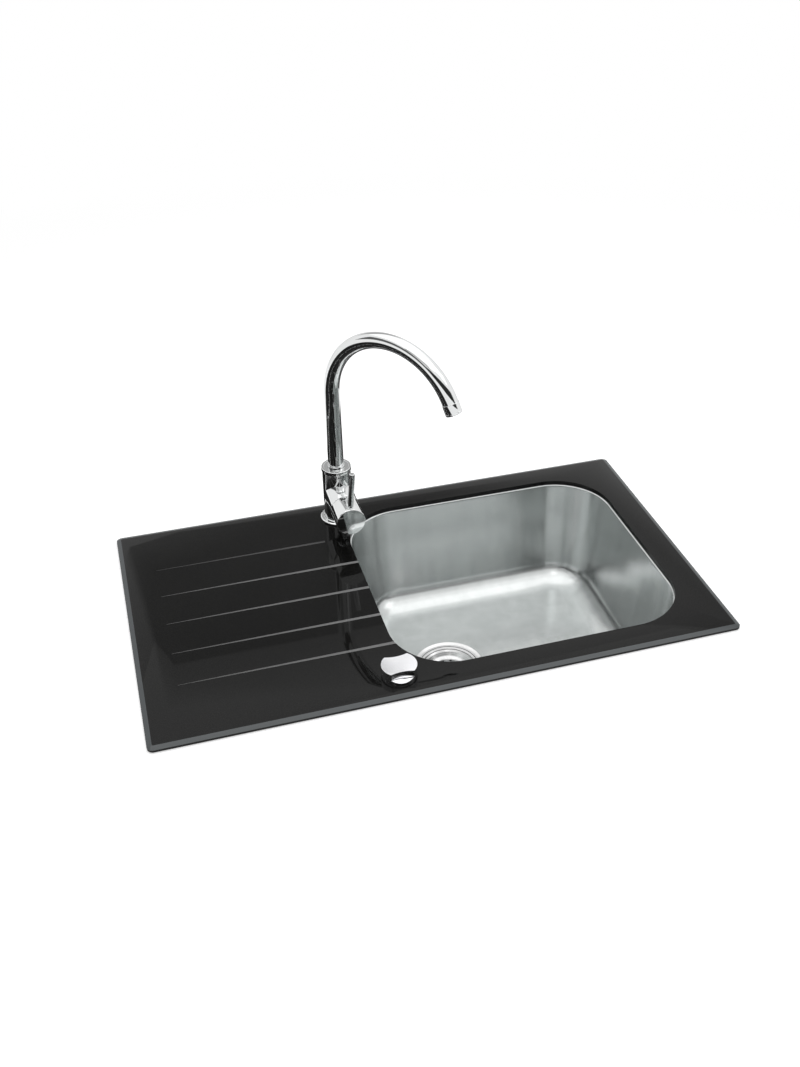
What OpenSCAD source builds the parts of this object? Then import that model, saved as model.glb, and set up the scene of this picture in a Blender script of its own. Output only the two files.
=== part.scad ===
// Inset kitchen sink: a black glass top with a drainer, a deep steel bowl, a swan neck mixer tap
// and a pop-up basket waste that a knob on the glass works through a cable.
// Millimetres. X runs left to right, Y front to back, Z up.
// The origin is the centre of the plate, on the worktop that the rim's seal rests on.

/* [Glass top] */
// Width of the glass plate
plate_w = 860; // [850:1:880]
// Depth of the glass plate
plate_d = 500; // [494:1:510]
// Thickness of the toughened glass
glass_t = 6; // [5:0.5:8]
// Radius of the plate's four corners
plate_corner_r = 9; // [8:0.5:20]
// Width of the polished bevel round the plate
bevel_w = 7; // [3:0.5:7.5]
// Height of the polished bevel
bevel_h = 2.5; // [1:0.25:3]
// Thickness of the foam seal between the glass and the worktop
seal_t = 1.5; // [1:0.25:3]
// Width of the foam seal
seal_w = 6; // [4:0.5:8]
// Distance of the foam seal from the plate's edge
seal_inset = 3; // [2:0.5:4]

/* [Bowl] */
// Width of the bowl's cut-out in the glass
cut_w = 450; // [430:1:456]
// Glass left between the cut-out and the plate's front edge
cut_front = 47; // [46:0.5:60]
// Glass left between the cut-out and the plate's back edge
cut_behind = 45; // [44:0.5:60]
// Corner radius of the cut-out
cut_corner_r = 92; // [70:1:110]
// Glass left between the cut-out and the plate's right edge
cut_right = 50.5; // [46:0.5:60]
// Depth of the bowl from the top of the glass to the waste
bowl_depth = 190; // [160:1:220]
// Thickness of the bowl's steel
bowl_t = 1.2; // [1:0.1:2]
// How far the bowl's mouth stands inside the cut-out
bowl_reveal = 2; // [1:0.25:3]
// How far each wall leans in from the mouth to the floor
wall_lean = 12; // [6:0.5:20]
// Radius between the walls and the floor
floor_fillet = 28; // [15:1:40]
// Fall of the floor from its edge to the waste
floor_fall = 2.5; // [1:0.25:4]
// Width of the bowl's flange outside the cut-out
flange_w = 12; // [8:0.5:13]
// Thickness of the sealant between the flange and the glass
bond_t = 1.2; // [0.8:0.1:2]

/* [Drainer] */
// Number of grooves in the drainer
groove_n = 5; // [3:1:5]
// Distance between two grooves
groove_pitch = 69; // [60:0.5:70]
// Width of a groove where it meets the bowl
groove_w = 5.5; // [3:0.25:8]
// Width of a groove at its far tip
groove_tip_w = 1; // [0.5:0.1:2]
// Depth of the grooves
groove_depth = 1; // [0.5:0.1:1.5]
// Distance from the plate's left edge to the grooves' tips
groove_start = 53; // [40:1:80]
// Distance from the bowl's cut-out to the end of the rearmost groove
groove_stop = 38; // [30:1:60]

/* [Waste] */
// Distance from the cut-out's left edge to the middle of the waste
waste_from_left = 129; // [110:1:200]
// Distance of the waste behind the middle of the plate
waste_back = 2; // [-10:1:10]
// Radius of the waste's steel flange
waste_flange_r = 57; // [55:0.5:60]
// Radius of the basket's rim
basket_r = 43.3; // [42.5:0.1:43.5]
// Radius of the basket's perforated cup
cup_r = 31; // [28:0.5:32]
// Depth of the basket's rim below the floor
basket_drop = 6; // [4:0.5:7]
// Outer radius of the outlet's thread, for a trap of one and a half inches
outlet_r = 23.9; // [20:0.1:24.5]
// Length of the outlet pipe
outlet_len = 38; // [30:1:60]
// Height that the plug and its basket rise
plug_lift = 8.4; // [6:0.1:9]

/* [Overflow] */
// Depth of the overflow below the top of the glass
overflow_depth = 50; // [45:1:60]
// Radius of the overflow's cover
overflow_cover_r = 26; // [24:0.5:30]
// Radius of the overflow's hole in the bowl
overflow_hole_r = 19; // [16:0.5:20]
// Outer radius of the overflow pipe
overflow_pipe_r = 11; // [9:0.5:12]

/* [Tap] */
// Distance of the tap hole from the plate's back edge
tap_from_back = 45; // [40:1:48]
// Distance of the tap hole to the right of the cut-out's left edge
tap_shift = 0; // [-10:1:2]
// Radius of the tap and knob holes in the glass
hole_r = 17.5; // [17:0.1:18]
// Radius of the tap's base ring
base_ring_r = 29.8; // [27:0.1:31]
// Radius of the tap's upright body
body_r = 23; // [22.5:0.1:23.2]
// Height of the upright body above the glass
body_h = 92; // [88:1:110]
// Radius of the branch and its turning cap
branch_r = 23.3; // [23.3:0.1:24.5]
// Height of the branch's axis above the glass
branch_h = 50.3; // [45:0.1:58]
// Distance from the tap's axis to the seam between the branch and the cap
seam_out = 55.6; // [54:0.1:65]
// Length of the cap
cap_len = 41.2; // [40:0.1:50]
// Radius of the collar on the body
collar_r = 24.1; // [23.5:0.1:26]
// Height of the collar
collar_h = 7; // [5:0.5:10]

/* [Lever] */
// Radius of the lever's pin
pin_r = 4.4; // [3:0.1:5]
// Length of the pin above the cap
pin_len = 60; // [45:1:80]
// Distance of the pin behind the cap's face
pin_back = 10; // [8:0.5:12]
// Turn of the lever to the right at rest
lever_turn = 5; // [0:1:10]
// Tilt of the lever from shut to full flow
lever_tilt = 20; // [15:1:22]

/* [Spout] */
// Outer radius of the spout's tube
spout_r = 12.6; // [11:0.1:13]
// Wall of the spout's tube
spout_wall = 1.5; // [1:0.1:2]
// Radius of the swan neck's bend along its middle
neck_r = 116; // [80:1:130]
// Height of the bend's start above the glass
neck_start = 233.3; // [180:0.1:280]
// Angle of the bend
neck_arc = 155.5; // [120:0.5:175]
// Direction of the spout, turned from straight right towards the front
spout_turn = 51.2; // [0:0.1:90]
// Radius of the aerator's shell
aerator_r = 13.2; // [13.1:0.1:14]
// Length of the aerator's shell
aerator_len = 17; // [12:0.5:22]

/* [Knob] */
// Distance of the knob from the plate's front edge
knob_from_front = 45.7; // [42:0.1:47]
// Distance of the knob to the left of the cut-out's left edge
knob_shift = 9; // [0:0.5:20]
// Radius of the knob's grip
grip_r = 25.3; // [24:0.1:26]
// Height of the grip's top above the glass
grip_h = 19; // [17:0.5:24]
// Half width of the grip at its waist
grip_waist = 16.5; // [14:0.5:19]
// Radius of the two finger hollows
hollow_r = 51; // [40:1:70]
// Radius of the knob's base disc
knob_base_r = 24.3; // [22:0.1:25]
// Thickness of the knob's base disc
knob_base_h = 4; // [3:0.25:5]
// Radius of the cable's sheath
cable_r = 2.5; // [2:0.1:3]
// Radius of the cable's two bends
cable_bend = 22; // [20:1:28]

/* [Fixings] */
// Distance of a clip's pivot from the plate's edge
clip_inset = 21; // [20.5:0.5:22]
// Length of a clip's arm below its pivot
clip_arm = 30; // [26:1:45]
// Reach of a clip's hook
clip_hook = 9; // [8:0.5:10]
// Length of a clip along the edge
clip_len = 14; // [11:1:20]
// Length of the stud under the tap
stud_len = 72; // [55:1:90]

/* [Hidden] */
$fn = 96;

// Clearances
run_gap = 0.06;
slip_gap = 0.1;
free_gap = 0.3;
over = 1;

// Levels of the glass
glass_z = seal_t;
top_z = glass_z + glass_t;

// Cut-out and bowl
cut_d = plate_d - cut_front - cut_behind;
cut_x = plate_w / 2 - cut_right - cut_w / 2;
cut_y = (cut_front - cut_behind) / 2;
cut_left = cut_x - cut_w / 2;
mouth_w = cut_w - 2 * bowl_reveal;
mouth_d = cut_d - 2 * bowl_reveal;
mouth_corner_r = cut_corner_r - bowl_reveal;
floor_z = top_z - bowl_depth;
floor_edge_z = floor_z + floor_fall;
flange_z = glass_z - bond_t;
fillet_z = floor_edge_z + floor_fillet;
floor_corner_r = mouth_corner_r - wall_lean;
arc_steps = 6;

// Waste
waste_x = cut_left + waste_from_left;
waste_y = waste_back;
lip_t = 2;
top_seal_t = 1.5;
recess_gap = 1.5;
recess_r = waste_flange_r + recess_gap;
recess_depth = lip_t + top_seal_t;
waste_hole_r = basket_r + 2.2;
flange_wall = 1;
throat_r = basket_r + 0.6;
throat_out_r = throat_r + flange_wall;
seat_depth = 18;
lower_cup_r = cup_r + 2;
cup_floor_depth = 30;
cup_floor_t = 1.5;
body_seal_t = 2.5;
body_top_depth = recess_depth + bowl_t + body_seal_t;
chamber_r = waste_hole_r + 0.5;
chamber_wall = 3;
chamber_depth = 64;
outlet_top_depth = 80;
outlet_wall = 3.5;
boss_top_depth = 36;
boss_depth = 46;
boss_r = 9;
screw_r = 5;
screw_head_r = 8;
screw_head_h = 3.5;
lifter_r = 3;
lifter_low_depth = boss_depth + plug_lift + free_gap;
rocker_arm = 20;
rocker_tip_r = 3;
rocker_w = 7;
pivot_depth = lifter_low_depth + free_gap + rocker_tip_r;
shaft_r = 2.5;
shaft_boss_w = 9;
shaft_boss_in = rocker_w / 2 + 2.5;
shaft_boss_out = sqrt(pow(chamber_r + 1, 2) - pow(rocker_arm + shaft_boss_w / 2, 2));
shaft_half = shaft_boss_out - 5;
cable_arm = 15;
wire_r = 1.2;
gland_r = 4.5;
gland_depth = pivot_depth - cable_arm;
gland_boss_len = 5;
gland_out = chamber_r + chamber_wall + 10;
hub_r = 8;
hub_depth = 23.5;
basket_t = 1;
basket_low = 1.5 - hub_depth;
plug_seal_top = -basket_drop - 8.4;
plug_seal_w = 8;

// Overflow
overflow_z = top_z - overflow_depth;
wall_tilt = atan(wall_lean / (flange_z - fillet_z));
overflow_x = cut_left + bowl_reveal + (flange_z - overflow_z) * tan(wall_tilt);
cover_t = 1.5;
overflow_screw_r = 2.5;
gasket_t = 2;
elbow_back = bowl_t + gasket_t + 2 * slip_gap;
elbow_flange_t = 2.5;
elbow_depth = 26;
elbow_wall = 2.5;
elbow_boss_r = 6;
elbow_boss_len = 3;
pipe_wall = 1.5;
pipe_bend = 22;
socket_wall = 2.5;
socket_len = 12;
elbow_reach = 28;
overflow_down_x = overflow_x - elbow_reach;
socket_z = overflow_z - overflow_hole_r - socket_len - 2;
overflow_in_depth = 30;
overflow_in_z = floor_z - overflow_in_depth;
spigot_len = 12;
spigot_x = waste_x - chamber_r - chamber_wall - spigot_len;

// Tap
tap_x = cut_left + tap_shift;
tap_y = plate_d / 2 - tap_from_back;
tap_seal_t = 0.6;
base_z = top_z + tap_seal_t;
base_ring_h = 3.6;
body_top_z = top_z + body_h;
branch_z = top_z + branch_h;
seam_y = tap_y - seam_out;
seam_gap = 0.6;
spigot_r = hole_r - 1;
bush_r = spout_r + 2.4;
bush_len = 42;
bush_floor = 2;
water_r = 7;
ring_r = spout_r + 1;
neck_z = top_z + neck_start;
dome_r = branch_r - 2.5;
dome_wall = 1.5;
dome_hole_angle = 42;
nut_depth = 7;
nut_r = branch_r - 2.3;
cartridge_r = 17.6;
cartridge_front = 7.2;
cartridge_len = 33;
carrier_r = 13;
carrier_front = 6;
carrier_back = 14;
carrier_slot = 9.6;
stem_r = 4.5;
stem_pin_r = 2;
cap_bore_r = branch_r - 2.1;
cap_bore_depth = dome_r + 1.4;
cap_cavity_r = 17;
cap_end = 3;
stem_boss_r = 9;
grub_r = 2.5;
aerator_wall = 2.6;
aerator_inset = 2;
stud_r = 4;
stud_back = 10;
tail_r = 4.5;
tail_x = 8;
tail_front = 4;
tail_depth = 16;
horseshoe_t = 2;
rubber_t = 3.5;
rubber_r = 24;

// Knob
knob_x = cut_left - knob_shift;
knob_y = -plate_d / 2 + knob_from_front;
sleeve_r = hole_r - 1.2;
sleeve_bore_r = 8.3;
spindle_r = 5;
spindle_top = top_z + grip_h - 4;
bearing_h = 5;
nut_h = 6;
nut_across = 42;
housing_r = 24;
housing_wall = 2.5;
sleeve_z = glass_z - nut_h - 9;
housing_top_z = glass_z - nut_h;
housing_h = 28;
housing_z = housing_top_z - housing_h;
lid_t = 2;
drum_r = 14;
drum_h = 9;
drum_groove = 4;
knob_grub_r = 2;
drum_z = housing_z + 4;
cable_side = 10;
cable_z = drum_z + drum_h / 2;
cable_boss_len = 12;
cable_boss_r = 5.5;
cable_grip = 6;
adjuster_r = cable_r + 1;
adjuster_len = 16;
cable_start_x = knob_x - housing_r - cable_boss_len + cable_grip;
cable_out = 14;
cable_down_x = cable_start_x - cable_out - cable_bend;
cable_y = knob_y - cable_side;
gland_angle = atan2(cable_y - waste_y, cable_down_x - waste_x);
cable_low_z = floor_z - gland_depth;
cable_span = norm([cable_down_x - waste_x, cable_y - waste_y]);

// Fixing clips
bracket_side = 2.2;
bracket_len = clip_len + 2 * bracket_side;
bracket_t = 1.5;
ear_t = 1.8;
bracket_out = 7;
bracket_in = 8.5;
pivot_drop = 9;
pivot_r = 2;
barrel_r = 3.8;
clip_t = 1.5;
clip_screw_r = 2.5;
clip_screw_len = 22;
clip_screw_out = clip_hook - 4;
ear_low = 5;
pivot_z = glass_z - pivot_drop;
station_left = 100;
station_middle = 60;
station_right = 80;
station_side = 130;
front_stations = [station_left - plate_w / 2, station_middle, plate_w / 2 - station_right];
side_stations = [station_side - plate_d / 2, plate_d / 2 - station_side];

// Shapes shared by several pieces

module ring(r_out, r_in, h) {
  difference() {
    cylinder(r = r_out, h = h);
    translate([0, 0, -over]) cylinder(r = r_in, h = h + 2 * over);
  }
}

module hex_ring(across, r_in, h) {
  difference() {
    cylinder(d = across / cos(30), h = h, $fn = 6);
    translate([0, 0, -over]) cylinder(r = r_in, h = h + 2 * over);
  }
}

// A flat rectangle with round corners
module round_rect(w, d, r) {
  square([w - 2 * r, d], center = true);
  square([w, d - 2 * r], center = true);
  for (sx = [-1, 1], sy = [-1, 1]) {
    translate([sx * (w / 2 - r), sy * (d / 2 - r)]) circle(r = r);
  }
}

module round_rect_ring(w, d, r, width, h) {
  difference() {
    linear_extrude(height = h) round_rect(w, d, r);
    translate([0, 0, -over]) linear_extrude(height = h + 2 * over) {
      round_rect(w - 2 * width, d - 2 * width, r - width);
    }
  }
}

// A bent tube in the XZ plane, from straight up at the origin over to the +X side
module bend_tube(bend, r_out, r_in, angle) {
  translate([bend, 0, 0]) mirror([1, 0, 0]) rotate([90, 0, 0]) {
    rotate_extrude(angle = angle) translate([bend, 0]) difference() {
      circle(r = r_out);
      if (r_in > 0) circle(r = r_in);
    }
  }
}

// Places

module at_tap() {
  translate([tap_x, tap_y, 0]) children();
}

module at_knob() {
  translate([knob_x, knob_y, 0]) children();
}

module at_waste() {
  translate([waste_x, waste_y, floor_z]) children();
}

// X points from the waste to the cable's gland
module gland_frame() {
  at_waste() rotate([0, 0, gland_angle]) children();
}

// The branch runs along -Y from here, and the lever's pin points up
module lever_frame() {
  translate([tap_x, seam_y, branch_z]) rotate([0, lever_turn, 0]) children();
}

// Z points down the branch, away from the tap's axis
module branch_frame() {
  translate([tap_x, seam_y, branch_z]) rotate([90, 0, 0]) children();
}

// X runs along the spout's reach
module spout_frame() {
  at_tap() rotate([0, 0, -spout_turn]) children();
}

// Z points out of the spout's mouth
module mouth_frame() {
  spout_frame() {
    translate([neck_r * (1 - cos(neck_arc)), 0, neck_z + neck_r * sin(neck_arc)]) {
      rotate([0, neck_arc, 0]) children();
    }
  }
}

// Z points into the bowl, square to its left wall, from the wall's inner face
module overflow_frame() {
  translate([overflow_x, waste_y, overflow_z]) rotate([0, 90 - wall_tilt, 0]) children();
}

// Glass top

module bevelled_plate() {
  low_h = glass_t - bevel_h;
  r = plate_corner_r;
  straight_w = plate_w - 2 * r;
  straight_d = plate_d - 2 * r;
  translate([0, 0, glass_z]) linear_extrude(height = low_h) round_rect(plate_w, plate_d, r);
  translate([0, 0, glass_z + low_h]) {
    rotate([90, 0, 90]) linear_extrude(height = straight_w, center = true) {
      bevel_section(plate_d);
    }
    rotate([90, 0, 0]) linear_extrude(height = straight_d, center = true) {
      bevel_section(plate_w);
    }
    for (sx = [-1, 1], sy = [-1, 1]) {
      translate([sx * straight_w / 2, sy * straight_d / 2, 0]) {
        cylinder(r1 = r, r2 = r - bevel_w, h = bevel_h);
      }
    }
  }
}

module bevel_section(w) {
  polygon([
    [-w / 2, 0],
    [w / 2, 0],
    [w / 2 - bevel_w, bevel_h],
    [-w / 2 + bevel_w, bevel_h]
  ]);
}

// One groove, cut down from the top of the glass between two places along X
module groove(y, x_tip, x_end, end_w) {
  translate([0, 0, top_z - groove_depth]) linear_extrude(height = groove_depth + over) {
    polygon([
      [x_tip, y - groove_tip_w / 2],
      [x_end, y - end_w / 2],
      [x_end, y + end_w / 2],
      [x_tip, y + groove_tip_w / 2]
    ]);
  }
}

module grooves() {
  tip = -plate_w / 2 + groove_start;
  mid = (groove_n - 1) / 2;
  for (i = [0 : groove_n - 1]) {
    y = (mid - i) * groove_pitch + waste_y;
    last = i == 0 ? cut_left - groove_stop : cut_left + cut_corner_r / 2;
    groove(y, tip, last, groove_w * (last - tip) / (cut_left - tip));
  }
}

module glass_top() {
  color([0.06, 0.06, 0.06]) difference() {
    bevelled_plate();
    translate([cut_x, cut_y, glass_z - over]) {
      linear_extrude(height = glass_t + 2 * over) round_rect(cut_w, cut_d, cut_corner_r);
    }
    at_tap() translate([0, 0, glass_z - over]) cylinder(r = hole_r, h = glass_t + 2 * over);
    at_knob() translate([0, 0, glass_z - over]) cylinder(r = hole_r, h = glass_t + 2 * over);
    grooves();
  }
}

module edge_seal() {
  w = plate_w - 2 * seal_inset;
  d = plate_d - 2 * seal_inset;
  color("dimgray") round_rect_ring(w, d, plate_corner_r + seal_w / 2, seal_w, seal_t);
}

// Bowl

module floor_corner_profile(r) {
  fillet = floor_fillet;
  polygon(concat(
    [[0, 0]],
    [for (i = [0 : arc_steps]) let (a = 90 * i / arc_steps)
      [r - fillet + fillet * sin(a), fillet - fillet * cos(a)]],
    [[0, fillet]]
  ));
}

// The bowl's hollow, or with a growth its outside
module bowl_form(grow) {
  mx = mouth_w / 2 - mouth_corner_r;
  my = mouth_d / 2 - mouth_corner_r;
  hull() {
    for (sx = [-1, 1], sy = [-1, 1]) {
      translate([cut_x + sx * mx, cut_y + sy * my, flange_z - 0.1]) {
        cylinder(r = mouth_corner_r + grow, h = 0.1, $fn = 48);
      }
      translate([cut_x + sx * mx, cut_y + sy * my, floor_edge_z - grow]) {
        rotate_extrude($fn = 48) floor_corner_profile(floor_corner_r + grow);
      }
    }
    at_waste() translate([0, 0, -grow]) cylinder(r = recess_r, h = 0.1, $fn = 48);
  }
}

module bowl() {
  color([0.72, 0.74, 0.73]) difference() {
    union() {
      bowl_form(bowl_t);
      translate([cut_x, cut_y, flange_z - bowl_t]) linear_extrude(height = bowl_t) {
        round_rect(cut_w + 2 * flange_w, cut_d + 2 * flange_w, cut_corner_r + flange_w);
      }
      at_waste() translate([0, 0, -recess_depth - bowl_t]) {
        cylinder(r = recess_r + bowl_t, h = recess_depth + bowl_t / 2);
      }
    }
    bowl_form(0);
    translate([cut_x, cut_y, flange_z - 0.05]) linear_extrude(height = over) {
      round_rect(mouth_w, mouth_d, mouth_corner_r);
    }
    at_waste() translate([0, 0, -recess_depth]) cylinder(r = recess_r, h = recess_depth + 0.5);
    at_waste() translate([0, 0, -recess_depth - bowl_t - over]) {
      cylinder(r = waste_hole_r, h = recess_depth + bowl_t + 2 * over);
    }
    overflow_frame() translate([0, 0, -3 * bowl_t]) cylinder(r = overflow_hole_r, h = 6 * bowl_t);
  }
}

module bond_seal() {
  margin = 2;
  grown = flange_w - margin;
  color([0.15, 0.15, 0.15]) translate([cut_x, cut_y, flange_z]) {
    round_rect_ring(cut_w + 2 * grown, cut_d + 2 * grown, cut_corner_r + grown, grown - 1, bond_t);
  }
}

module sound_pad() {
  pad_w = 150;
  pad_d = 180;
  pad_t = 2;
  pad_shift = 75;
  top = floor_z - bowl_t;
  color([0.2, 0.2, 0.2]) translate([cut_x + pad_shift, cut_y, top - pad_t / 2]) {
    cube([pad_w, pad_d, pad_t], center = true);
  }
}

// Overflow

module overflow_cover() {
  slot_h = 5.2;
  slot_w = 26;
  slot_out = 9;
  color([0.8, 0.81, 0.82]) overflow_frame() translate([0, 0, slip_gap]) difference() {
    cylinder(r = overflow_cover_r, h = cover_t);
    translate([0, 0, -over]) cylinder(r = overflow_screw_r + slip_gap, h = cover_t + 2 * over);
    for (s = [-1, 1]) {
      translate([s * slot_out, 0, 0]) cube([slot_h, slot_w, 3 * cover_t], center = true);
    }
  }
}

module overflow_screw() {
  head_h = 2;
  back = -elbow_back - elbow_depth + elbow_wall + free_gap;
  color("silver") overflow_frame() {
    translate([0, 0, cover_t + 2 * slip_gap]) cylinder(r1 = 4.5, r2 = 3, h = head_h);
    translate([0, 0, back]) cylinder(r = overflow_screw_r, h = cover_t + head_h - back);
  }
}

module overflow_gasket() {
  color([0.1, 0.1, 0.1]) overflow_frame() {
    translate([0, 0, -elbow_back + slip_gap]) ring(overflow_cover_r, overflow_hole_r, gasket_t);
  }
}

// A cup behind the bowl's wall, with the screw's boss inside and a socket for the pipe below
module overflow_elbow() {
  cup_r = overflow_hole_r + elbow_wall;
  color([0.9, 0.9, 0.88]) difference() {
    union() {
      overflow_frame() {
        translate([0, 0, -elbow_back - elbow_flange_t]) {
          cylinder(r = overflow_cover_r, h = elbow_flange_t);
        }
        translate([0, 0, -elbow_back - elbow_depth]) cylinder(r = cup_r, h = elbow_depth - over);
      }
      translate([overflow_down_x, waste_y, socket_z]) {
        cylinder(r = overflow_pipe_r + socket_wall, h = overflow_z - socket_z);
      }
    }
    overflow_frame() translate([0, 0, -elbow_back - elbow_depth]) difference() {
      translate([0, 0, elbow_wall]) cylinder(r = overflow_hole_r, h = elbow_depth);
      cylinder(r = elbow_boss_r, h = elbow_wall + elbow_boss_len);
    }
    overflow_frame() translate([0, 0, -elbow_back - elbow_depth + elbow_wall]) {
      cylinder(r = overflow_screw_r + slip_gap, h = elbow_depth);
    }
    translate([overflow_down_x, waste_y, socket_z - over]) {
      cylinder(r = overflow_pipe_r + slip_gap, h = socket_len + over);
      cylinder(r = overflow_pipe_r - pipe_wall, h = overflow_z - socket_z - elbow_boss_r);
    }
  }
}

module overflow_pipe() {
  top = socket_z + socket_len - free_gap;
  bend_z = overflow_in_z + pipe_bend;
  bore_r = overflow_pipe_r - pipe_wall;
  color([0.88, 0.88, 0.86]) {
    translate([overflow_down_x, waste_y, bend_z]) ring(overflow_pipe_r, bore_r, top - bend_z);
    translate([overflow_down_x, waste_y, bend_z]) mirror([0, 0, 1]) {
      bend_tube(pipe_bend, overflow_pipe_r, bore_r, 90);
    }
    translate([overflow_down_x + pipe_bend, waste_y, overflow_in_z]) rotate([0, 90, 0]) {
      ring(overflow_pipe_r, bore_r, spigot_x + spigot_len - 3 - overflow_down_x - pipe_bend);
    }
  }
}

// Waste

module waste_flange() {
  slope_low = -3;
  hole_n = 6;
  hole_out = cup_r * 0.65;
  wall_out_r = lower_cup_r + flange_wall;
  color([0.82, 0.83, 0.84]) at_waste() difference() {
    rotate_extrude() polygon([
      [waste_flange_r, -lip_t],
      [waste_flange_r, -0.8],
      [waste_flange_r - 0.8, 0],
      [waste_flange_r - 3, 0],
      [throat_r + 0.7, slope_low + 0.6],
      [throat_r, slope_low],
      [throat_r, -seat_depth],
      [lower_cup_r, -seat_depth],
      [lower_cup_r, -cup_floor_depth + cup_floor_t],
      [0, -cup_floor_depth + cup_floor_t],
      [0, -cup_floor_depth],
      [wall_out_r, -cup_floor_depth],
      [wall_out_r, -seat_depth - flange_wall],
      [throat_out_r, -seat_depth - flange_wall],
      [throat_out_r, -recess_depth + slip_gap],
      [throat_out_r + 3, -lip_t]
    ]);
    translate([0, 0, -cup_floor_depth - over]) {
      cylinder(r = screw_r + slip_gap, h = cup_floor_t + 2 * over);
      for (i = [0 : hole_n - 1]) {
        rotate([0, 0, 360 * i / hole_n]) translate([hole_out, 0, 0]) {
          cylinder(r = 7, h = cup_floor_t + 2 * over);
        }
      }
    }
  }
}

module waste_top_seal() {
  color([0.1, 0.1, 0.1]) at_waste() translate([0, 0, -recess_depth]) {
    ring(waste_flange_r, throat_out_r + 3.5, top_seal_t - slip_gap);
  }
}

module waste_lower_seal() {
  color([0.1, 0.1, 0.1]) at_waste() translate([0, 0, -body_top_depth]) {
    ring(recess_r, waste_hole_r + free_gap, body_seal_t);
  }
}

module waste_body() {
  wall_r = chamber_r + chamber_wall;
  outlet_z = -outlet_top_depth - outlet_len;
  rib_t = 4;
  boss_h = boss_depth - boss_top_depth;
  color([0.93, 0.93, 0.91]) difference() {
    union() {
      at_waste() {
        rotate_extrude() polygon([
          [outlet_r - outlet_wall, outlet_z],
          [outlet_r, outlet_z],
          [outlet_r, -outlet_top_depth],
          [wall_r, -chamber_depth],
          [wall_r, -body_top_depth - 6],
          [recess_r, -body_top_depth - 3],
          [recess_r, -body_top_depth],
          [chamber_r, -body_top_depth],
          [chamber_r, -chamber_depth + 1],
          [outlet_r - outlet_wall, -outlet_top_depth + 1]
        ]);
        translate([0, 0, -boss_depth]) ring(boss_r, screw_r + slip_gap, boss_h);
      }
      gland_frame() {
        for (a = [60, 180, 300]) {
          rotate([0, 0, a]) translate([boss_r - 1, -rib_t / 2, -boss_depth]) {
            cube([chamber_r - boss_r + 2, rib_t, boss_h]);
          }
        }
        for (s = [-1, 1]) shaft_boss(s);
        translate([chamber_r + 1, 0, -gland_depth]) rotate([0, 90, 0]) {
          cylinder(r = gland_r + 2.5, h = chamber_wall - 1 + gland_boss_len);
        }
      }
      translate([spigot_x, waste_y, overflow_in_z]) rotate([0, 90, 0]) {
        cylinder(r = overflow_pipe_r + socket_wall, h = spigot_len + chamber_wall - slip_gap);
      }
    }
    gland_frame() translate([chamber_r - 2, 0, -gland_depth]) rotate([0, 90, 0]) {
      cylinder(r = gland_r + slip_gap, h = chamber_wall + gland_boss_len + 2 * over);
    }
    gland_frame() translate([rocker_arm, 0, -pivot_depth]) rotate([90, 0, 0]) {
      cylinder(r = shaft_r + slip_gap, h = 2 * (shaft_half + free_gap), center = true);
    }
    translate([spigot_x - over, waste_y, overflow_in_z]) rotate([0, 90, 0]) {
      cylinder(r = overflow_pipe_r + slip_gap, h = spigot_len - 2 + over);
      cylinder(r = overflow_pipe_r - pipe_wall, h = spigot_len + chamber_wall + 6);
    }
  }
}

// One of the two bosses inside the waste that hold the rocker's shaft
module shaft_boss(side) {
  length = shaft_boss_out - shaft_boss_in;
  translate([rocker_arm, side * (shaft_boss_in + length / 2), -pivot_depth]) {
    cube([shaft_boss_w, length, shaft_boss_w], center = true);
  }
}

module waste_screw() {
  low = -boss_depth + 1;
  head_z = -cup_floor_depth + cup_floor_t + slip_gap;
  color([0.75, 0.76, 0.78]) at_waste() difference() {
    union() {
      translate([0, 0, head_z]) cylinder(r = screw_head_r, h = screw_head_h);
      translate([0, 0, low]) cylinder(r = screw_r, h = head_z - low + over);
    }
    translate([0, 0, -boss_depth]) cylinder(r = lifter_r + run_gap, h = boss_depth);
  }
}

module rocker_shaft() {
  color("silver") gland_frame() translate([rocker_arm, 0, -pivot_depth]) rotate([90, 0, 0]) {
    cylinder(r = shaft_r, h = 2 * shaft_half, center = true);
  }
}

// One arm lies under the lifter pin, and the cable pulls the other
module rocker() {
  hub = 5.5;
  arm_t = 4;
  color([0.2, 0.2, 0.21]) gland_frame() translate([rocker_arm, 0, -pivot_depth]) {
    rotate([90, 0, 0]) difference() {
      union() {
        cylinder(r = hub, h = rocker_w, center = true);
        translate([-rocker_arm, 0, 0]) cylinder(r = rocker_tip_r, h = rocker_w, center = true);
        translate([-rocker_arm / 2, 0, 0]) cube([rocker_arm, arm_t, rocker_w], center = true);
        translate([0, cable_arm / 2, 0]) cube([arm_t, cable_arm, rocker_w], center = true);
        translate([0, cable_arm, 0]) cylinder(r = rocker_tip_r, h = rocker_w, center = true);
      }
      cylinder(r = shaft_r + run_gap, h = 2 * rocker_w, center = true);
      translate([0, cable_arm, 0]) cylinder(r = wire_r, h = 2 * rocker_w, center = true);
    }
  }
}

module lifter_pin() {
  color("silver") at_waste() translate([0, 0, -lifter_low_depth]) {
    cylinder(r = lifter_r, h = lifter_low_depth - hub_depth - free_gap);
  }
}

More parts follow.
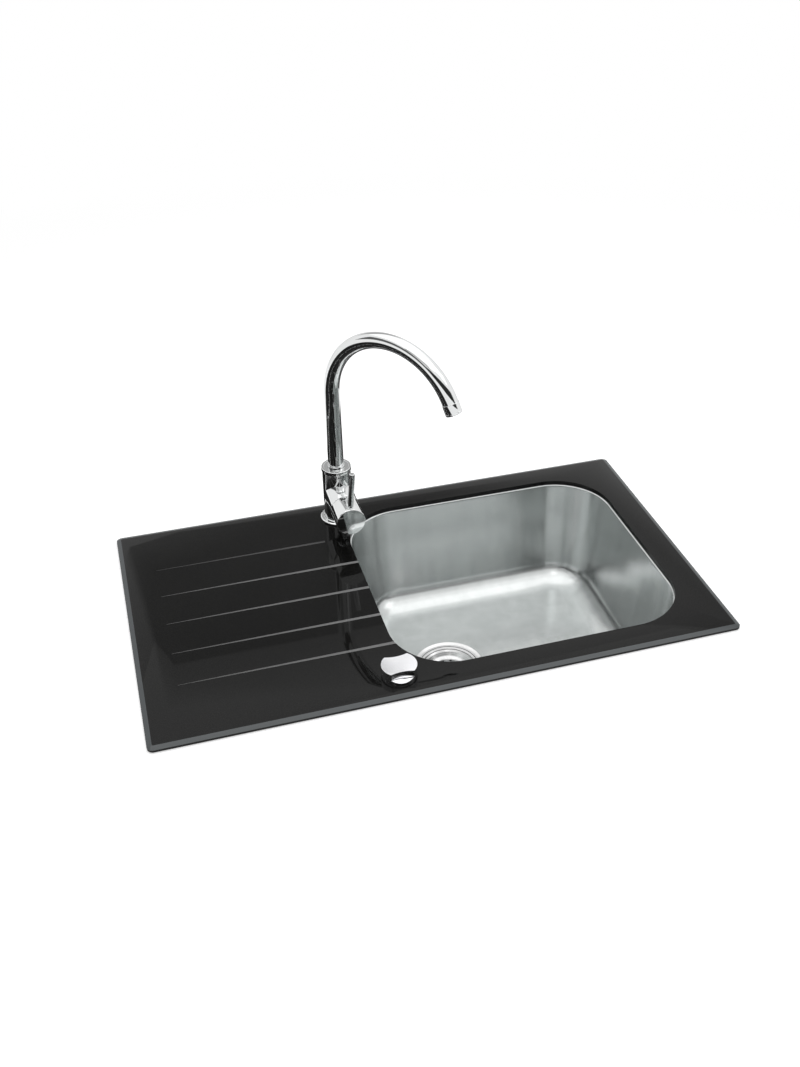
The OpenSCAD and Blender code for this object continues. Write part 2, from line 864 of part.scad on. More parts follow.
module strainer_basket() {
  hole_r = 2;
  side_hole_r = 1.5;
  wall_hole_n = 16;
  step = 6;
  color([0.83, 0.84, 0.85]) at_waste() difference() {
    union() {
      rotate_extrude() polygon([
        [0, basket_low],
        [cup_r - 2, basket_low],
        [cup_r, basket_low + 2],
        [cup_r, plug_seal_top],
        [cup_r + 3, plug_seal_top],
        [basket_r - 1, -basket_drop - 1.5],
        [basket_r, -basket_drop - 1],
        [basket_r, -basket_drop - 0.2],
        [basket_r - 0.8, -basket_drop + 0.4],
        [basket_r - 1.6, -basket_drop],
        [cup_r + 2.6, -basket_drop - step],
        [cup_r + 1, -basket_drop - step + 0.6],
        [cup_r - basket_t, -basket_drop - step - 1],
        [cup_r - basket_t, basket_low + 2.6],
        [cup_r - 2.6, basket_low + basket_t],
        [0, basket_low + basket_t]
      ]);
      translate([0, 0, -hub_depth]) cylinder(r = hub_r, h = 6);
      translate([0, 0, -hub_depth + 6]) cylinder(r1 = hub_r, r2 = hub_r - 3, h = 3);
    }
    floor_holes(wall_hole_n, cup_r - 6, hole_r);
    floor_holes(wall_hole_n - 5, cup_r - 14, hole_r);
    for (i = [0 : wall_hole_n - 1]) {
      rotate([0, 0, 360 * i / wall_hole_n]) translate([cup_r - 4, 0, basket_low + 5]) {
        rotate([0, 90, 0]) cylinder(r = side_hole_r, h = 8);
      }
    }
  }
}

// One ring of holes in the basket's floor
module floor_holes(count, out, r) {
  for (i = [0 : count - 1]) {
    rotate([0, 0, 360 * i / count]) translate([out, 0, basket_low - over]) {
      cylinder(r = r, h = basket_t + 2 * over);
    }
  }
}

module plug_seal() {
  low = -seat_depth + free_gap;
  color([0.08, 0.08, 0.08]) at_waste() translate([0, 0, low]) {
    ring(cup_r + plug_seal_w, cup_r + slip_gap, plug_seal_top - low);
  }
}

module cable_gland() {
  inner = chamber_r - 1;
  length = gland_out - inner;
  nut_across = 13;
  nut_z = 1 + chamber_wall + gland_boss_len + 2 * slip_gap;
  color([0.25, 0.25, 0.26]) gland_frame() translate([inner, 0, -gland_depth]) rotate([0, 90, 0]) {
    difference() {
      union() {
        cylinder(r = gland_r, h = length);
        translate([0, 0, nut_z]) hex_ring(nut_across, gland_r - 0.5, 4);
      }
      translate([0, 0, length - cable_grip]) cylinder(r = cable_r + slip_gap, h = cable_grip + over);
      translate([0, 0, -over]) cylinder(r = wire_r, h = length);
    }
  }
}

// Out of the drum housing, down past the bowl's corner and along to the gland
module bowden_cable() {
  run = cable_span - cable_bend - gland_out + cable_grip;
  drop = cable_z - cable_low_z - 2 * cable_bend;
  half = (drop - over) / 2;
  color([0.12, 0.12, 0.13]) {
    translate([cable_start_x, cable_y, cable_z]) rotate([0, -90, 0]) {
      cylinder(r = cable_r, h = cable_out);
    }
    translate([cable_down_x, cable_y, cable_z - cable_bend]) {
      bend_tube(cable_bend, cable_r, 0, 90);
      translate([0, 0, -half]) cylinder(r = cable_r, h = half);
      translate([0, 0, -(drop + adjuster_len) / 2]) cylinder(r = adjuster_r, h = adjuster_len);
    }
    translate([cable_down_x, cable_y, cable_low_z + cable_bend]) rotate([0, 0, gland_angle + 180]) {
      cylinder(r = cable_r, h = half);
      mirror([0, 0, 1]) bend_tube(cable_bend, cable_r, 0, 90);
      translate([cable_bend, 0, -cable_bend]) rotate([0, 90, 0]) cylinder(r = cable_r, h = run);
    }
  }
}

// Knob

module knob_base() {
  base_h = top_z + knob_base_h - sleeve_z;
  color([0.85, 0.86, 0.87]) at_knob() difference() {
    union() {
      rotate_extrude() polygon([
        [0, top_z],
        [knob_base_r, top_z],
        [knob_base_r, top_z + knob_base_h - 1],
        [knob_base_r - 1, top_z + knob_base_h],
        [0, top_z + knob_base_h]
      ]);
      translate([0, 0, sleeve_z]) cylinder(r = sleeve_r, h = top_z - sleeve_z + over);
    }
    translate([0, 0, sleeve_z - over]) cylinder(r = spindle_r + run_gap, h = base_h + 2 * over);
    translate([0, 0, sleeve_z + bearing_h]) cylinder(r = sleeve_bore_r, h = base_h - 2 * bearing_h);
  }
}

module knob_nut() {
  color([0.7, 0.6, 0.3]) at_knob() translate([0, 0, glass_z - nut_h]) {
    hex_ring(nut_across, sleeve_r + slip_gap, nut_h);
  }
}

module drum_housing() {
  color([0.2, 0.2, 0.21]) difference() {
    union() {
      at_knob() translate([0, 0, housing_z]) cylinder(r = housing_r, h = housing_top_z - housing_z);
      translate([knob_x, cable_y, cable_z]) rotate([0, -90, 0]) {
        cylinder(r = cable_boss_r, h = housing_r + cable_boss_len);
      }
    }
    at_knob() translate([0, 0, housing_z - over]) {
      cylinder(r = housing_r - housing_wall, h = sleeve_z - housing_z);
      cylinder(r = sleeve_r + slip_gap, h = housing_top_z - housing_z + 2 * over);
    }
    translate([cable_start_x, cable_y, cable_z]) rotate([0, -90, 0]) {
      cylinder(r = cable_r + slip_gap, h = cable_boss_len);
    }
    translate([knob_x - drum_r, cable_y, cable_z]) rotate([0, -90, 0]) {
      cylinder(r = wire_r, h = housing_r);
    }
  }
}

module drum_lid() {
  color([0.25, 0.25, 0.26]) at_knob() translate([0, 0, housing_z - lid_t]) {
    cylinder(r = housing_r, h = lid_t);
  }
}

module knob_spindle() {
  low = housing_z + 1.5;
  color("silver") at_knob() translate([0, 0, low]) cylinder(r = spindle_r, h = spindle_top - low);
}

module cable_drum() {
  color([0.9, 0.9, 0.85]) at_knob() translate([0, 0, drum_z]) difference() {
    rotate_extrude() polygon([
      [spindle_r + slip_gap, 0],
      [drum_r, 0],
      [drum_r, 2.5],
      [drum_r - drum_groove, 3.5],
      [drum_r - drum_groove, drum_h - 3.5],
      [drum_r, drum_h - 2.5],
      [drum_r, drum_h],
      [spindle_r + slip_gap, drum_h]
    ]);
    translate([0, drum_r - 3, -over]) cylinder(r = wire_r, h = drum_h + 2 * over);
  }
}

module knob_grip() {
  low = top_z + knob_base_h + free_gap;
  high = top_z + grip_h;
  edge = 1.5;
  color([0.88, 0.89, 0.9]) at_knob() difference() {
    rotate_extrude() polygon([
      [0, low],
      [grip_r, low],
      [grip_r, high - edge],
      [grip_r - edge * 0.3, high - edge * 0.4],
      [grip_r - edge, high],
      [0, high]
    ]);
    for (s = [-1, 1]) {
      translate([0, s * (grip_waist + hollow_r), low - over]) {
        cylinder(r = hollow_r, h = grip_h + 2 * over);
      }
    }
    translate([0, 0, low - over]) {
      cylinder(r = spindle_r + slip_gap, h = spindle_top + slip_gap - low + over);
    }
    translate([0, spindle_r, top_z + grip_h / 2]) rotate([-90, 0, 0]) {
      cylinder(r = knob_grub_r + slip_gap, h = hollow_r);
    }
  }
}

module knob_grub_screw() {
  length = grip_waist - spindle_r - over;
  color("dimgray") at_knob() translate([0, spindle_r + slip_gap, top_z + grip_h / 2]) {
    rotate([-90, 0, 0]) difference() {
      cylinder(r = knob_grub_r, h = length);
      translate([0, 0, length - 2]) cylinder(r = knob_grub_r / 2, h = 2 + over, $fn = 6);
    }
  }
}

// Tap

module tap_base_seal() {
  color([0.08, 0.08, 0.08]) at_tap() translate([0, 0, top_z]) {
    ring(base_ring_r - 0.5, spigot_r + free_gap, tap_seal_t);
  }
}

module tap_base_ring() {
  color([0.85, 0.86, 0.87]) at_tap() translate([0, 0, base_z]) rotate_extrude() polygon([
    [body_r + slip_gap, 0],
    [base_ring_r, 0],
    [base_ring_r, base_ring_h - 1.6],
    [base_ring_r - 0.5, base_ring_h - 0.6],
    [base_ring_r - 1.6, base_ring_h],
    [body_r + slip_gap, base_ring_h]
  ]);
}

module tap_body() {
  bush_z = body_top_z - bush_len;
  color([0.85, 0.86, 0.87]) difference() {
    union() {
      at_tap() translate([0, 0, base_z]) cylinder(r = body_r, h = body_top_z - base_z);
      at_tap() translate([0, 0, glass_z + 1]) cylinder(r = spigot_r, h = base_z - glass_z);
      branch_frame() translate([0, 0, -seam_out]) cylinder(r = branch_r, h = seam_out);
    }
    at_tap() {
      translate([0, 0, bush_z]) cylinder(r = bush_r + slip_gap, h = bush_len + over);
      translate([0, 0, branch_z]) cylinder(r = water_r, h = bush_z - branch_z + over);
      for (s = [-1, 1]) {
        translate([s * tail_x, -tail_front, glass_z]) cylinder(r = tail_r, h = tail_depth);
      }
      translate([0, stud_back, glass_z]) cylinder(r = stud_r, h = tail_depth);
    }
    branch_frame() {
      translate([0, 0, -nut_depth]) cylinder(r = nut_r + slip_gap, h = nut_depth + over);
      translate([0, 0, -cartridge_front - cartridge_len]) {
        cylinder(r = cartridge_r + slip_gap, h = cartridge_front + cartridge_len);
      }
      translate([0, 0, -seam_out]) cylinder(r = water_r, h = seam_out);
    }
  }
}

module spout_collar() {
  color([0.85, 0.86, 0.87]) at_tap() translate([0, 0, body_top_z]) rotate_extrude() polygon([
    [ring_r + free_gap, 0],
    [collar_r - 0.8, 0],
    [collar_r, 0.8],
    [collar_r, collar_h - 0.8],
    [collar_r - 0.8, collar_h],
    [ring_r + free_gap, collar_h]
  ]);
}

module spout_bush() {
  color([0.9, 0.9, 0.88]) at_tap() translate([0, 0, body_top_z - bush_len]) difference() {
    cylinder(r = bush_r, h = bush_len);
    translate([0, 0, bush_floor]) cylinder(r = spout_r + run_gap, h = bush_len);
    translate([0, 0, -over]) cylinder(r = spout_r - 2, h = bush_len);
  }
}

module spout_tube() {
  low = body_top_z - bush_len + bush_floor + free_gap;
  bore_r = spout_r - spout_wall;
  color([0.85, 0.86, 0.87]) spout_frame() {
    translate([0, 0, low]) ring(spout_r, bore_r, neck_z - low);
    translate([0, 0, neck_z]) bend_tube(neck_r, spout_r, bore_r, neck_arc);
  }
}

module spout_ring() {
  color([0.85, 0.86, 0.87]) at_tap() translate([0, 0, body_top_z + free_gap]) rotate_extrude() {
    polygon([
      [spout_r + slip_gap, 0],
      [ring_r, 0],
      [ring_r, collar_h + 2.2],
      [ring_r - 0.6, collar_h + 3],
      [spout_r + slip_gap, collar_h + 3]
    ]);
  }
}

module aerator_shell() {
  color([0.85, 0.86, 0.87]) mouth_frame() rotate_extrude() polygon([
    [aerator_r - aerator_wall, 0],
    [aerator_r - 0.4, 0],
    [aerator_r, 0.6],
    [aerator_r, aerator_len - 0.6],
    [aerator_r - 0.6, aerator_len],
    [aerator_r - aerator_inset, aerator_len],
    [aerator_r - aerator_inset, aerator_len - aerator_inset],
    [aerator_r - aerator_wall, aerator_len - aerator_inset]
  ]);
}

module aerator_insert() {
  insert_r = aerator_r - aerator_wall - slip_gap;
  insert_len = 9;
  jet_r = 0.8;
  row_pitch = insert_r / 3.6;
  color([0.3, 0.3, 0.32]) mouth_frame() {
    translate([0, 0, aerator_len - aerator_inset - insert_len]) difference() {
      cylinder(r = insert_r, h = insert_len);
      for (row = [1 : 3]) {
        for (i = [0 : 6 * row - 1]) {
          rotate([0, 0, 60 * i / row]) translate([row * row_pitch, 0, 2]) {
            cylinder(r = jet_r, h = insert_len);
          }
        }
      }
    }
  }
}

// Cartridge and lever

module cartridge() {
  port_r = 3;
  port_x = 6;
  port_y = -4;
  color([0.92, 0.92, 0.9]) branch_frame() {
    translate([0, 0, -cartridge_front - cartridge_len + slip_gap]) difference() {
      cylinder(r = cartridge_r, h = cartridge_len - 2 * slip_gap);
      translate([0, 0, cartridge_len + cartridge_front - carrier_back - 2 * slip_gap]) {
        cylinder(r = carrier_r + run_gap, h = cartridge_len);
      }
      for (s = [-1, 1]) {
        translate([s * port_x, port_y, -over]) cylinder(r = port_r, h = port_r + over);
      }
    }
  }
}

module dome_nut() {
  color([0.85, 0.86, 0.87]) branch_frame() {
    difference() {
      union() {
        translate([0, 0, -nut_depth]) cylinder(r = nut_r, h = nut_depth - slip_gap);
        intersection() {
          sphere(r = dome_r);
          translate([0, 0, -slip_gap - 0.5]) cylinder(r = branch_r, h = branch_r);
        }
      }
      sphere(r = dome_r - dome_wall);
      translate([0, 0, -nut_depth - over]) cylinder(r = carrier_r + 2, h = nut_depth + over);
      cylinder(r = dome_r * sin(dome_hole_angle), h = 2 * branch_r);
    }
  }
}

module mixing_carrier() {
  color([0.3, 0.45, 0.6]) lever_frame() difference() {
    translate([0, carrier_back - slip_gap, 0]) rotate([90, 0, 0]) {
      cylinder(r = carrier_r, h = carrier_back + carrier_front);
    }
    translate([-carrier_slot / 2, -carrier_front - over, -2 * carrier_r]) {
      cube([carrier_slot, carrier_back + carrier_front - 2, 4 * carrier_r]);
    }
    rotate([0, 90, 0]) cylinder(r = stem_pin_r + slip_gap / 2, h = 4 * carrier_r, center = true);
  }
}

module stem_pin() {
  color("silver") lever_frame() rotate([0, 90, 0]) {
    cylinder(r = stem_pin_r, h = 2 * carrier_r - 2, center = true);
  }
}

module lever_stem() {
  back = 8;
  front = cap_len - cap_end - 2;
  color([0.75, 0.76, 0.78]) lever_frame() difference() {
    translate([0, back, 0]) rotate([90, 0, 0]) cylinder(r = stem_r, h = back + front);
    rotate([0, 90, 0]) cylinder(r = stem_pin_r + run_gap, h = 4 * stem_r, center = true);
  }
}

module lever_cap() {
  wedge = lever_tilt + 2;
  reach = 2 * branch_r;
  color([0.85, 0.86, 0.87]) lever_frame() difference() {
    rotate([90, 0, 0]) difference() {
      union() {
        translate([0, 0, seam_gap]) cylinder(r = branch_r, h = cap_len - seam_gap - 0.8);
        translate([0, 0, cap_len - 0.8]) cylinder(r1 = branch_r, r2 = branch_r - 0.8, h = 0.8);
      }
      difference() {
        union() {
          cylinder(r = cap_bore_r, h = cap_bore_depth);
          cylinder(r = cap_cavity_r, h = cap_len - cap_end);
        }
        translate([0, 0, cap_bore_depth]) cylinder(r = stem_boss_r, h = cap_len);
      }
      cylinder(r = stem_r + slip_gap, h = cap_len - cap_end - 1.5);
    }
    rotate([90, 0, 90]) linear_extrude(height = 4 * branch_r, center = true) polygon([
      [-seam_gap, 0],
      [over, 0],
      [over, -reach],
      [-seam_gap - reach * tan(wedge), -reach]
    ]);
    translate([0, -cap_len + pin_back, 0]) {
      cylinder(r = grub_r + slip_gap, h = 2 * branch_r);
      translate([0, 0, branch_r - 1]) cylinder(r = pin_r + slip_gap, h = 4);
      mirror([0, 0, 1]) cylinder(r = grub_r + slip_gap, h = 2 * branch_r);
    }
  }
}

module lever_pin() {
  color([0.85, 0.86, 0.87]) lever_frame() translate([0, -cap_len + pin_back, 0]) {
    translate([0, 0, cap_cavity_r + 0.5]) cylinder(r = grub_r, h = branch_r - cap_cavity_r);
    translate([0, 0, branch_r - 1 + slip_gap]) cylinder(r = pin_r, h = pin_len + 1 - slip_gap - 0.8);
    translate([0, 0, branch_r + pin_len - 0.8]) cylinder(r1 = pin_r, r2 = pin_r - 0.8, h = 0.8);
  }
}

module lever_grub_screw() {
  color("dimgray") lever_frame() translate([0, -cap_len + pin_back, 0]) mirror([0, 0, 1]) {
    difference() {
      translate([0, 0, stem_r + slip_gap]) cylinder(r = grub_r, h = branch_r - stem_r - 1);
      translate([0, 0, branch_r - 4]) cylinder(r = 1.3, h = 5, $fn = 6);
    }
  }
}

// Fixings under the tap

module tap_stud() {
  color("silver") at_tap() translate([0, stud_back, glass_z + tail_depth - over - stud_len]) {
    cylinder(r = stud_r - slip_gap / 2, h = stud_len);
  }
}

// A round plate with a slot for the two tails, open towards the front
module horseshoe(r, t) {
  slot_half = tail_x + tail_r + 1;
  slot_back = 1.5;
  difference() {
    cylinder(r = r, h = t);
    translate([-slot_half, slot_back - 2 * r, -over]) cube([2 * slot_half, 2 * r, t + 2 * over]);
    translate([0, stud_back, -over]) cylinder(r = stud_r + free_gap, h = t + 2 * over);
  }
}

module rubber_horseshoe() {
  color([0.1, 0.1, 0.1]) at_tap() translate([0, 0, glass_z - rubber_t]) horseshoe(rubber_r, rubber_t);
}

module steel_horseshoe() {
  color("silver") at_tap() translate([0, 0, glass_z - rubber_t - horseshoe_t]) {
    horseshoe(rubber_r - 1, horseshoe_t);
  }
}

module stud_nut() {
  nut_len = 16;
  nut_across = 13;
  nut_z = glass_z - rubber_t - horseshoe_t - nut_len;
  color([0.75, 0.62, 0.3]) at_tap() translate([0, stud_back, nut_z]) {
    hex_ring(nut_across, stud_r + slip_gap / 2, nut_len);
  }
}

// Worktop fixings, drawn for an edge whose outside is -Y

module on_edge(turn, half) {
  rotate([0, 0, turn]) translate([0, -half + clip_inset, 0]) children();
}

module bracket() {
  ear_z = pivot_z - ear_low;
  translate([-bracket_len / 2, -bracket_out, glass_z - bracket_t]) {
    cube([bracket_len, bracket_out + bracket_in, bracket_t]);
  }
  translate([-bracket_len / 2, bracket_in - bracket_t, ear_z]) {
    cube([bracket_len, bracket_t, glass_z - ear_z]);
  }
  for (s = [-1, 1]) {
    translate([s * (bracket_len - ear_t) / 2 - ear_t / 2, -bracket_out, ear_z]) {
      cube([ear_t, bracket_out + bracket_in, glass_z - ear_z]);
    }
  }
  translate([0, 0, pivot_z]) rotate([0, 90, 0]) cylinder(r = pivot_r, h = bracket_len, center = true);
}

module clip_brackets() {
  color("silver") {
    for (x = front_stations) {
      on_edge(0, plate_d / 2) translate([x, 0, 0]) bracket();
      on_edge(180, plate_d / 2) translate([-x, 0, 0]) bracket();
    }
    for (y = side_stations) {
      on_edge(-90, plate_w / 2) translate([-y, 0, 0]) bracket();
      on_edge(90, plate_w / 2) translate([y, 0, 0]) bracket();
    }
  }
}

module clip() {
  hook_z = pivot_z - clip_arm;
  difference() {
    union() {
      translate([0, 0, pivot_z]) rotate([0, 90, 0]) {
        cylinder(r = barrel_r, h = clip_len, center = true);
      }
      translate([-clip_len / 2, -clip_t / 2, hook_z]) cube([clip_len, clip_t, clip_arm]);
      translate([-clip_len / 2, -clip_hook, hook_z]) cube([clip_len, clip_hook, clip_t]);
    }
    translate([0, 0, pivot_z]) rotate([0, 90, 0]) {
      cylinder(r = pivot_r + run_gap, h = 2 * clip_len, center = true);
    }
    translate([0, -clip_screw_out, hook_z - over]) {
      cylinder(r = clip_screw_r + slip_gap, h = clip_t + 2 * over);
    }
  }
}

module clip_screw() {
  head_h = 2.5;
  head_r = 3.6;
  below = 6;
  translate([0, -clip_screw_out, pivot_z - clip_arm - below]) {
    cylinder(r = clip_screw_r, h = clip_screw_len);
    translate([0, 0, -head_h]) cylinder(r = head_r, h = head_h);
  }
}

module clips_front() {
  color("silver") on_edge(0, plate_d / 2) for (x = front_stations) translate([x, 0, 0]) clip();
}

module clips_back() {
  color("silver") on_edge(180, plate_d / 2) for (x = front_stations) translate([-x, 0, 0]) clip();
}

module clips_left() {
  color("silver") on_edge(-90, plate_w / 2) for (y = side_stations) translate([-y, 0, 0]) clip();
}

module clips_right() {
  color("silver") on_edge(90, plate_w / 2) for (y = side_stations) translate([y, 0, 0]) clip();
}

module clip_screws_front() {
  color("gray") on_edge(0, plate_d / 2) for (x = front_stations) translate([x, 0, 0]) clip_screw();
}

module clip_screws_back() {
  color("gray") on_edge(180, plate_d / 2) for (x = front_stations) translate([-x, 0, 0]) clip_screw();
}

module clip_screws_left() {
  color("gray") on_edge(-90, plate_w / 2) for (y = side_stations) translate([-y, 0, 0]) clip_screw();
}

module clip_screws_right() {
  color("gray") on_edge(90, plate_w / 2) for (y = side_stations) translate([y, 0, 0]) clip_screw();
}

glass_top();
edge_seal();
bowl();
bond_seal();
sound_pad();
overflow_cover();
overflow_screw();
overflow_gasket();
overflow_elbow();
overflow_pipe();
waste_flange();
waste_top_seal();
waste_lower_seal();
waste_body();
waste_screw();
rocker_shaft();
rocker();
lifter_pin();
strainer_basket();
plug_seal();
cable_gland();
bowden_cable();
knob_base();
knob_nut();
drum_housing();
drum_lid();
knob_spindle();
cable_drum();
knob_grip();
knob_grub_screw();
tap_base_seal();
tap_base_ring();
tap_body();
spout_collar();
spout_bush();
cartridge();
dome_nut();
mixing_carrier();
stem_pin();
lever_stem();
lever_cap();
lever_pin();
lever_grub_screw();
spout_tube();
spout_ring();
aerator_shell();
aerator_insert();
tap_stud();
rubber_horseshoe();
steel_horseshoe();
stud_nut();
clip_brackets();
clips_front();
clips_back();
clips_left();
clips_right();
clip_screws_front();
clip_screws_back();
clip_screws_left();
clip_screws_right();
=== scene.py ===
import math
from contextlib import contextmanager

import bmesh
import bpy
from mathutils import Matrix, Vector


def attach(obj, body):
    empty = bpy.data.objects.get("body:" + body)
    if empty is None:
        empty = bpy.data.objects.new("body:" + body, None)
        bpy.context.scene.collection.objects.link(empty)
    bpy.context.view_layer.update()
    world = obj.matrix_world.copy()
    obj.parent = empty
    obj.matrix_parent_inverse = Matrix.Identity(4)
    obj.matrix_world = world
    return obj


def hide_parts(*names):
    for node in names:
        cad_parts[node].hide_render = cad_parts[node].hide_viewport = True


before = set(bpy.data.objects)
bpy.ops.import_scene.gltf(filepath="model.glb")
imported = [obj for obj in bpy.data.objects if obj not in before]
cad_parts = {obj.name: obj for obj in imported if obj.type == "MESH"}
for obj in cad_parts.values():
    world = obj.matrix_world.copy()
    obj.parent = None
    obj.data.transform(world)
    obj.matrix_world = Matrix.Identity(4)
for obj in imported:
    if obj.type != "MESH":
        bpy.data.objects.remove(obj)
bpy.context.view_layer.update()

MM = 0.001
UP = Vector((0, 0, 1))

# Sizes in millimetres, in the frame of the CAD model
PLATE_W, PLATE_D, PLATE_R = 860, 500, 9
GLASS_LOW, GLASS_TOP = 1.5, 7.5
BEVEL_W, BEVEL_H = 7, 2.5
HOLE_R = 17.5
GROOVE_BACK_Y, GROOVE_STEP, GROOVE_TIP_X = 140, 69, -377
CUT_X, CUT_Y, CUT_W, CUT_D, CUT_R = 154.5, 1, 450, 408, 92
FLANGE_Z, FLANGE_W = 0.3, 12
MOUTH_IN, MOUTH_ROLL = 14, 2.5
WALL_LEAN, LOW_LEAN = math.radians(4.5), math.radians(10.5)
LEAN_CHANGE_Z, LOW_LEAN_Z = -45, -75
TIGHT_R, TIGHT_END, WIDE_R = 28, math.radians(40), 52
FLOOR_EDGE_Z, FLOOR_Z = -180, -182.5
STEEL_T = 1.2
# The middle of the overflow on the wall, and where its hole begins behind the wall
OVERFLOW = Vector((-65.13, 2, -42.5))
OVERFLOW_HOLE, OVERFLOW_HOLE_R = Vector((-69.1, 2, -42.8)), 19
SLOT_OUT, SLOT_W, SLOT_L, SLOT_R, COVER_SCREW_R = 9, 5.2, 26, 2.55, 2.6
WASTE, SEAT_R = Vector((58.5, 2, FLOOR_Z)), 58.5
SIEVE_RING_R, SIEVE_HOLES, SIEVE_HOLE_R, SIEVE_SCREW_R = 20.15, 6, 7, 5.1
# The basket's rings of floor holes as radius and count, and the ring in its side
OUTER_HOLES, INNER_HOLES, FLOOR_HOLE_R = (25, 16), (17, 11), 2
SIDE_HOLES, SIDE_HOLE_R, SIDE_HOLE_Z = 16, 1.5, -16.5
# The tap, with its body and branch, its lever and its spout
TAP = Vector((-70.5, 205, 0))
COLUMN_R, COLUMN_TOP = 23, 99.5
TAIL_X, TAIL_Y, TAIL_R, STUD_Y, STUD_R, TAIL_TOP = 8, -4, 4.5, 10, 4, 17.5
SEAM, BRANCH, BRANCH_R, BRANCH_L = Vector((-70.5, 149.4, 57.8)), Vector((0, -1, 0)), 23.3, 55.6
BUSH_BORE_R, NUT_BORE_R, CARTRIDGE_BORE_R = 15.1, 21.1, 17.7
LEVER_TURN = math.radians(5)
SEAM_GAP, WEDGE_W, WEDGE_H, WEDGE_T, WEDGE_ANGLE = 0.6, 93, 46.6, 1.6, math.radians(22)
SPOUT_TURN = math.radians(51.2)
SPOUT_DIR = Vector((math.cos(SPOUT_TURN), -math.sin(SPOUT_TURN), 0))
TUBE_R, TUBE_LOW, TUBE_T = 12.6, 59.8, 1.5
NECK_R, NECK_Z, NECK_ARC = 116, 240.8, math.radians(155.5)
# The knob, its two finger hollows and the plane at their bottom
KNOB = Vector((-79.5, -204.3, 0))
GRIP_R, GRIP_LOW, GRIP_H = 25.3, 11.8, 14.7
HOLLOW_R, HOLLOW_OUT = 51, 67.5
SCOOP_OUT, SCOOP_Z, SCOOP_FALL = 16.5, 17.7, 0.58
SPINDLE_BORE_R, SCREW_BORE_R = 5.1, 2.1
# The cut-out in the worktop, and how many times as wide and deep the worktop itself is
WORKTOP_CUT_W, WORKTOP_CUT_D, WORKTOP_SPREAD = 840, 480, (14, 24, 1)


# Working by hand, in code

def mm(*values):
    return tuple(MM * value for value in values)


def take(*pieces):
    """Selects these pieces and nothing else."""
    bpy.ops.object.select_all(action="DESELECT")
    for piece in pieces:
        piece.select_set(True)
    bpy.context.view_layer.objects.active = pieces[0]


def named(name):
    """The primitive just added, named, with its place moved into its mesh."""
    piece = bpy.context.object
    piece.name = piece.data.name = name
    take(piece)
    bpy.ops.object.transform_apply()
    return piece


def placed(piece, move):
    """Moves or turns a whole shape, with its new place in its mesh."""
    piece.matrix_world = move
    take(piece)
    bpy.ops.object.transform_apply()
    return piece


def shift(x, y, z):
    return Matrix.Translation(mm(x, y, z))


def turn_about(centre, angle):
    """A turn round the upright axis through the centre."""
    return shift(*centre) @ Matrix.Rotation(angle, 4, "Z") @ shift(*-centre)


def copies(piece, moves):
    """Copies of a shape, each with its own mesh and moved in its own way. The shape itself is thrown away."""
    shapes = []
    for move in moves:
        shape = piece.copy()
        shape.data = piece.data.copy()
        bpy.context.scene.collection.objects.link(shape)
        shapes.append(placed(shape, move))
    bpy.data.objects.remove(piece)
    return shapes


@contextmanager
def editing(piece, kind="FACE"):
    """Edit mode on one piece, with all of it selected."""
    take(piece)
    bpy.ops.object.mode_set(mode="EDIT")
    bpy.ops.mesh.select_mode(type=kind)
    bpy.ops.mesh.select_all(action="SELECT")
    yield
    bpy.ops.object.mode_set(mode="OBJECT")


def choose(kind, test):
    """Selects the points, edges or faces of the edited piece that the test holds for."""
    mesh = bpy.context.edit_object.data
    bpy.ops.mesh.select_mode(type=kind)
    bpy.ops.mesh.select_all(action="DESELECT")
    shape = bmesh.from_edit_mesh(mesh)
    kinds = {"VERT": shape.verts, "EDGE": shape.edges, "FACE": shape.faces}
    for part in kinds[kind]:
        if test(part):
            part.select_set(True)
    shape.select_flush_mode()
    bmesh.update_edit_mesh(mesh)


def applied(piece, kind, **settings):
    """Adds a modifier with these settings and applies it."""
    take(piece)
    bpy.ops.object.modifier_add(type=kind)
    change = piece.modifiers[-1]
    for name, value in settings.items():
        setattr(change, name, value)
    bpy.ops.object.modifier_apply(modifier=change.name)


def cut(piece, *cutters, way="DIFFERENCE", finishes="INDEX"):
    """Cuts the other shapes out of a piece, or joins them to it, and throws them away."""
    for cutter in cutters:
        applied(piece, "BOOLEAN", operation=way, solver="EXACT", object=cutter, material_mode=finishes)
        bpy.data.objects.remove(cutter)


def smooth(piece, angle=32):
    """Shades a piece smooth, except over edges sharper than the angle."""
    take(piece)
    bpy.ops.object.shade_smooth_by_angle(angle=math.radians(angle))
    return piece


def eased(piece, width, steps, angle=32):
    """Rounds the sharp edges of a piece and shades it smooth."""
    smooth(piece, angle)
    applied(piece, "BEVEL", width=width * MM, segments=steps, limit_method="ANGLE",
            angle_limit=math.radians(angle), harden_normals=True)


def rounded(*corners, steps=5):
    """A closed profile of (radius, height) corners, where a third number rounds the corner."""
    line = []
    for i, corner in enumerate(corners):
        here = Vector(corner[:2])
        if len(corner) == 2:
            line.append(here)
            continue
        to_last = (Vector(corners[i - 1][:2]) - here).normalized()
        to_next = (Vector(corners[(i + 1) % len(corners)][:2]) - here).normalized()
        half = to_last.angle(to_next) / 2
        centre = here + (to_last + to_next).normalized() * corner[2] / math.sin(half)
        first = here + to_last * corner[2] / math.tan(half) - centre
        final = here + to_next * corner[2] / math.tan(half) - centre
        sweep = math.atan2(first.cross(final), first.dot(final))
        for k in range(steps + 1):
            line.append(centre + Matrix.Rotation(sweep * k / steps, 2) @ first)
    return line


def tidy_shell():
    """Closes the seams and poles of the edited piece and turns its faces outwards."""
    bpy.ops.mesh.select_all(action="SELECT")
    bpy.ops.mesh.remove_doubles(threshold=0.002 * MM)
    bpy.ops.mesh.normals_make_consistent(inside=False)


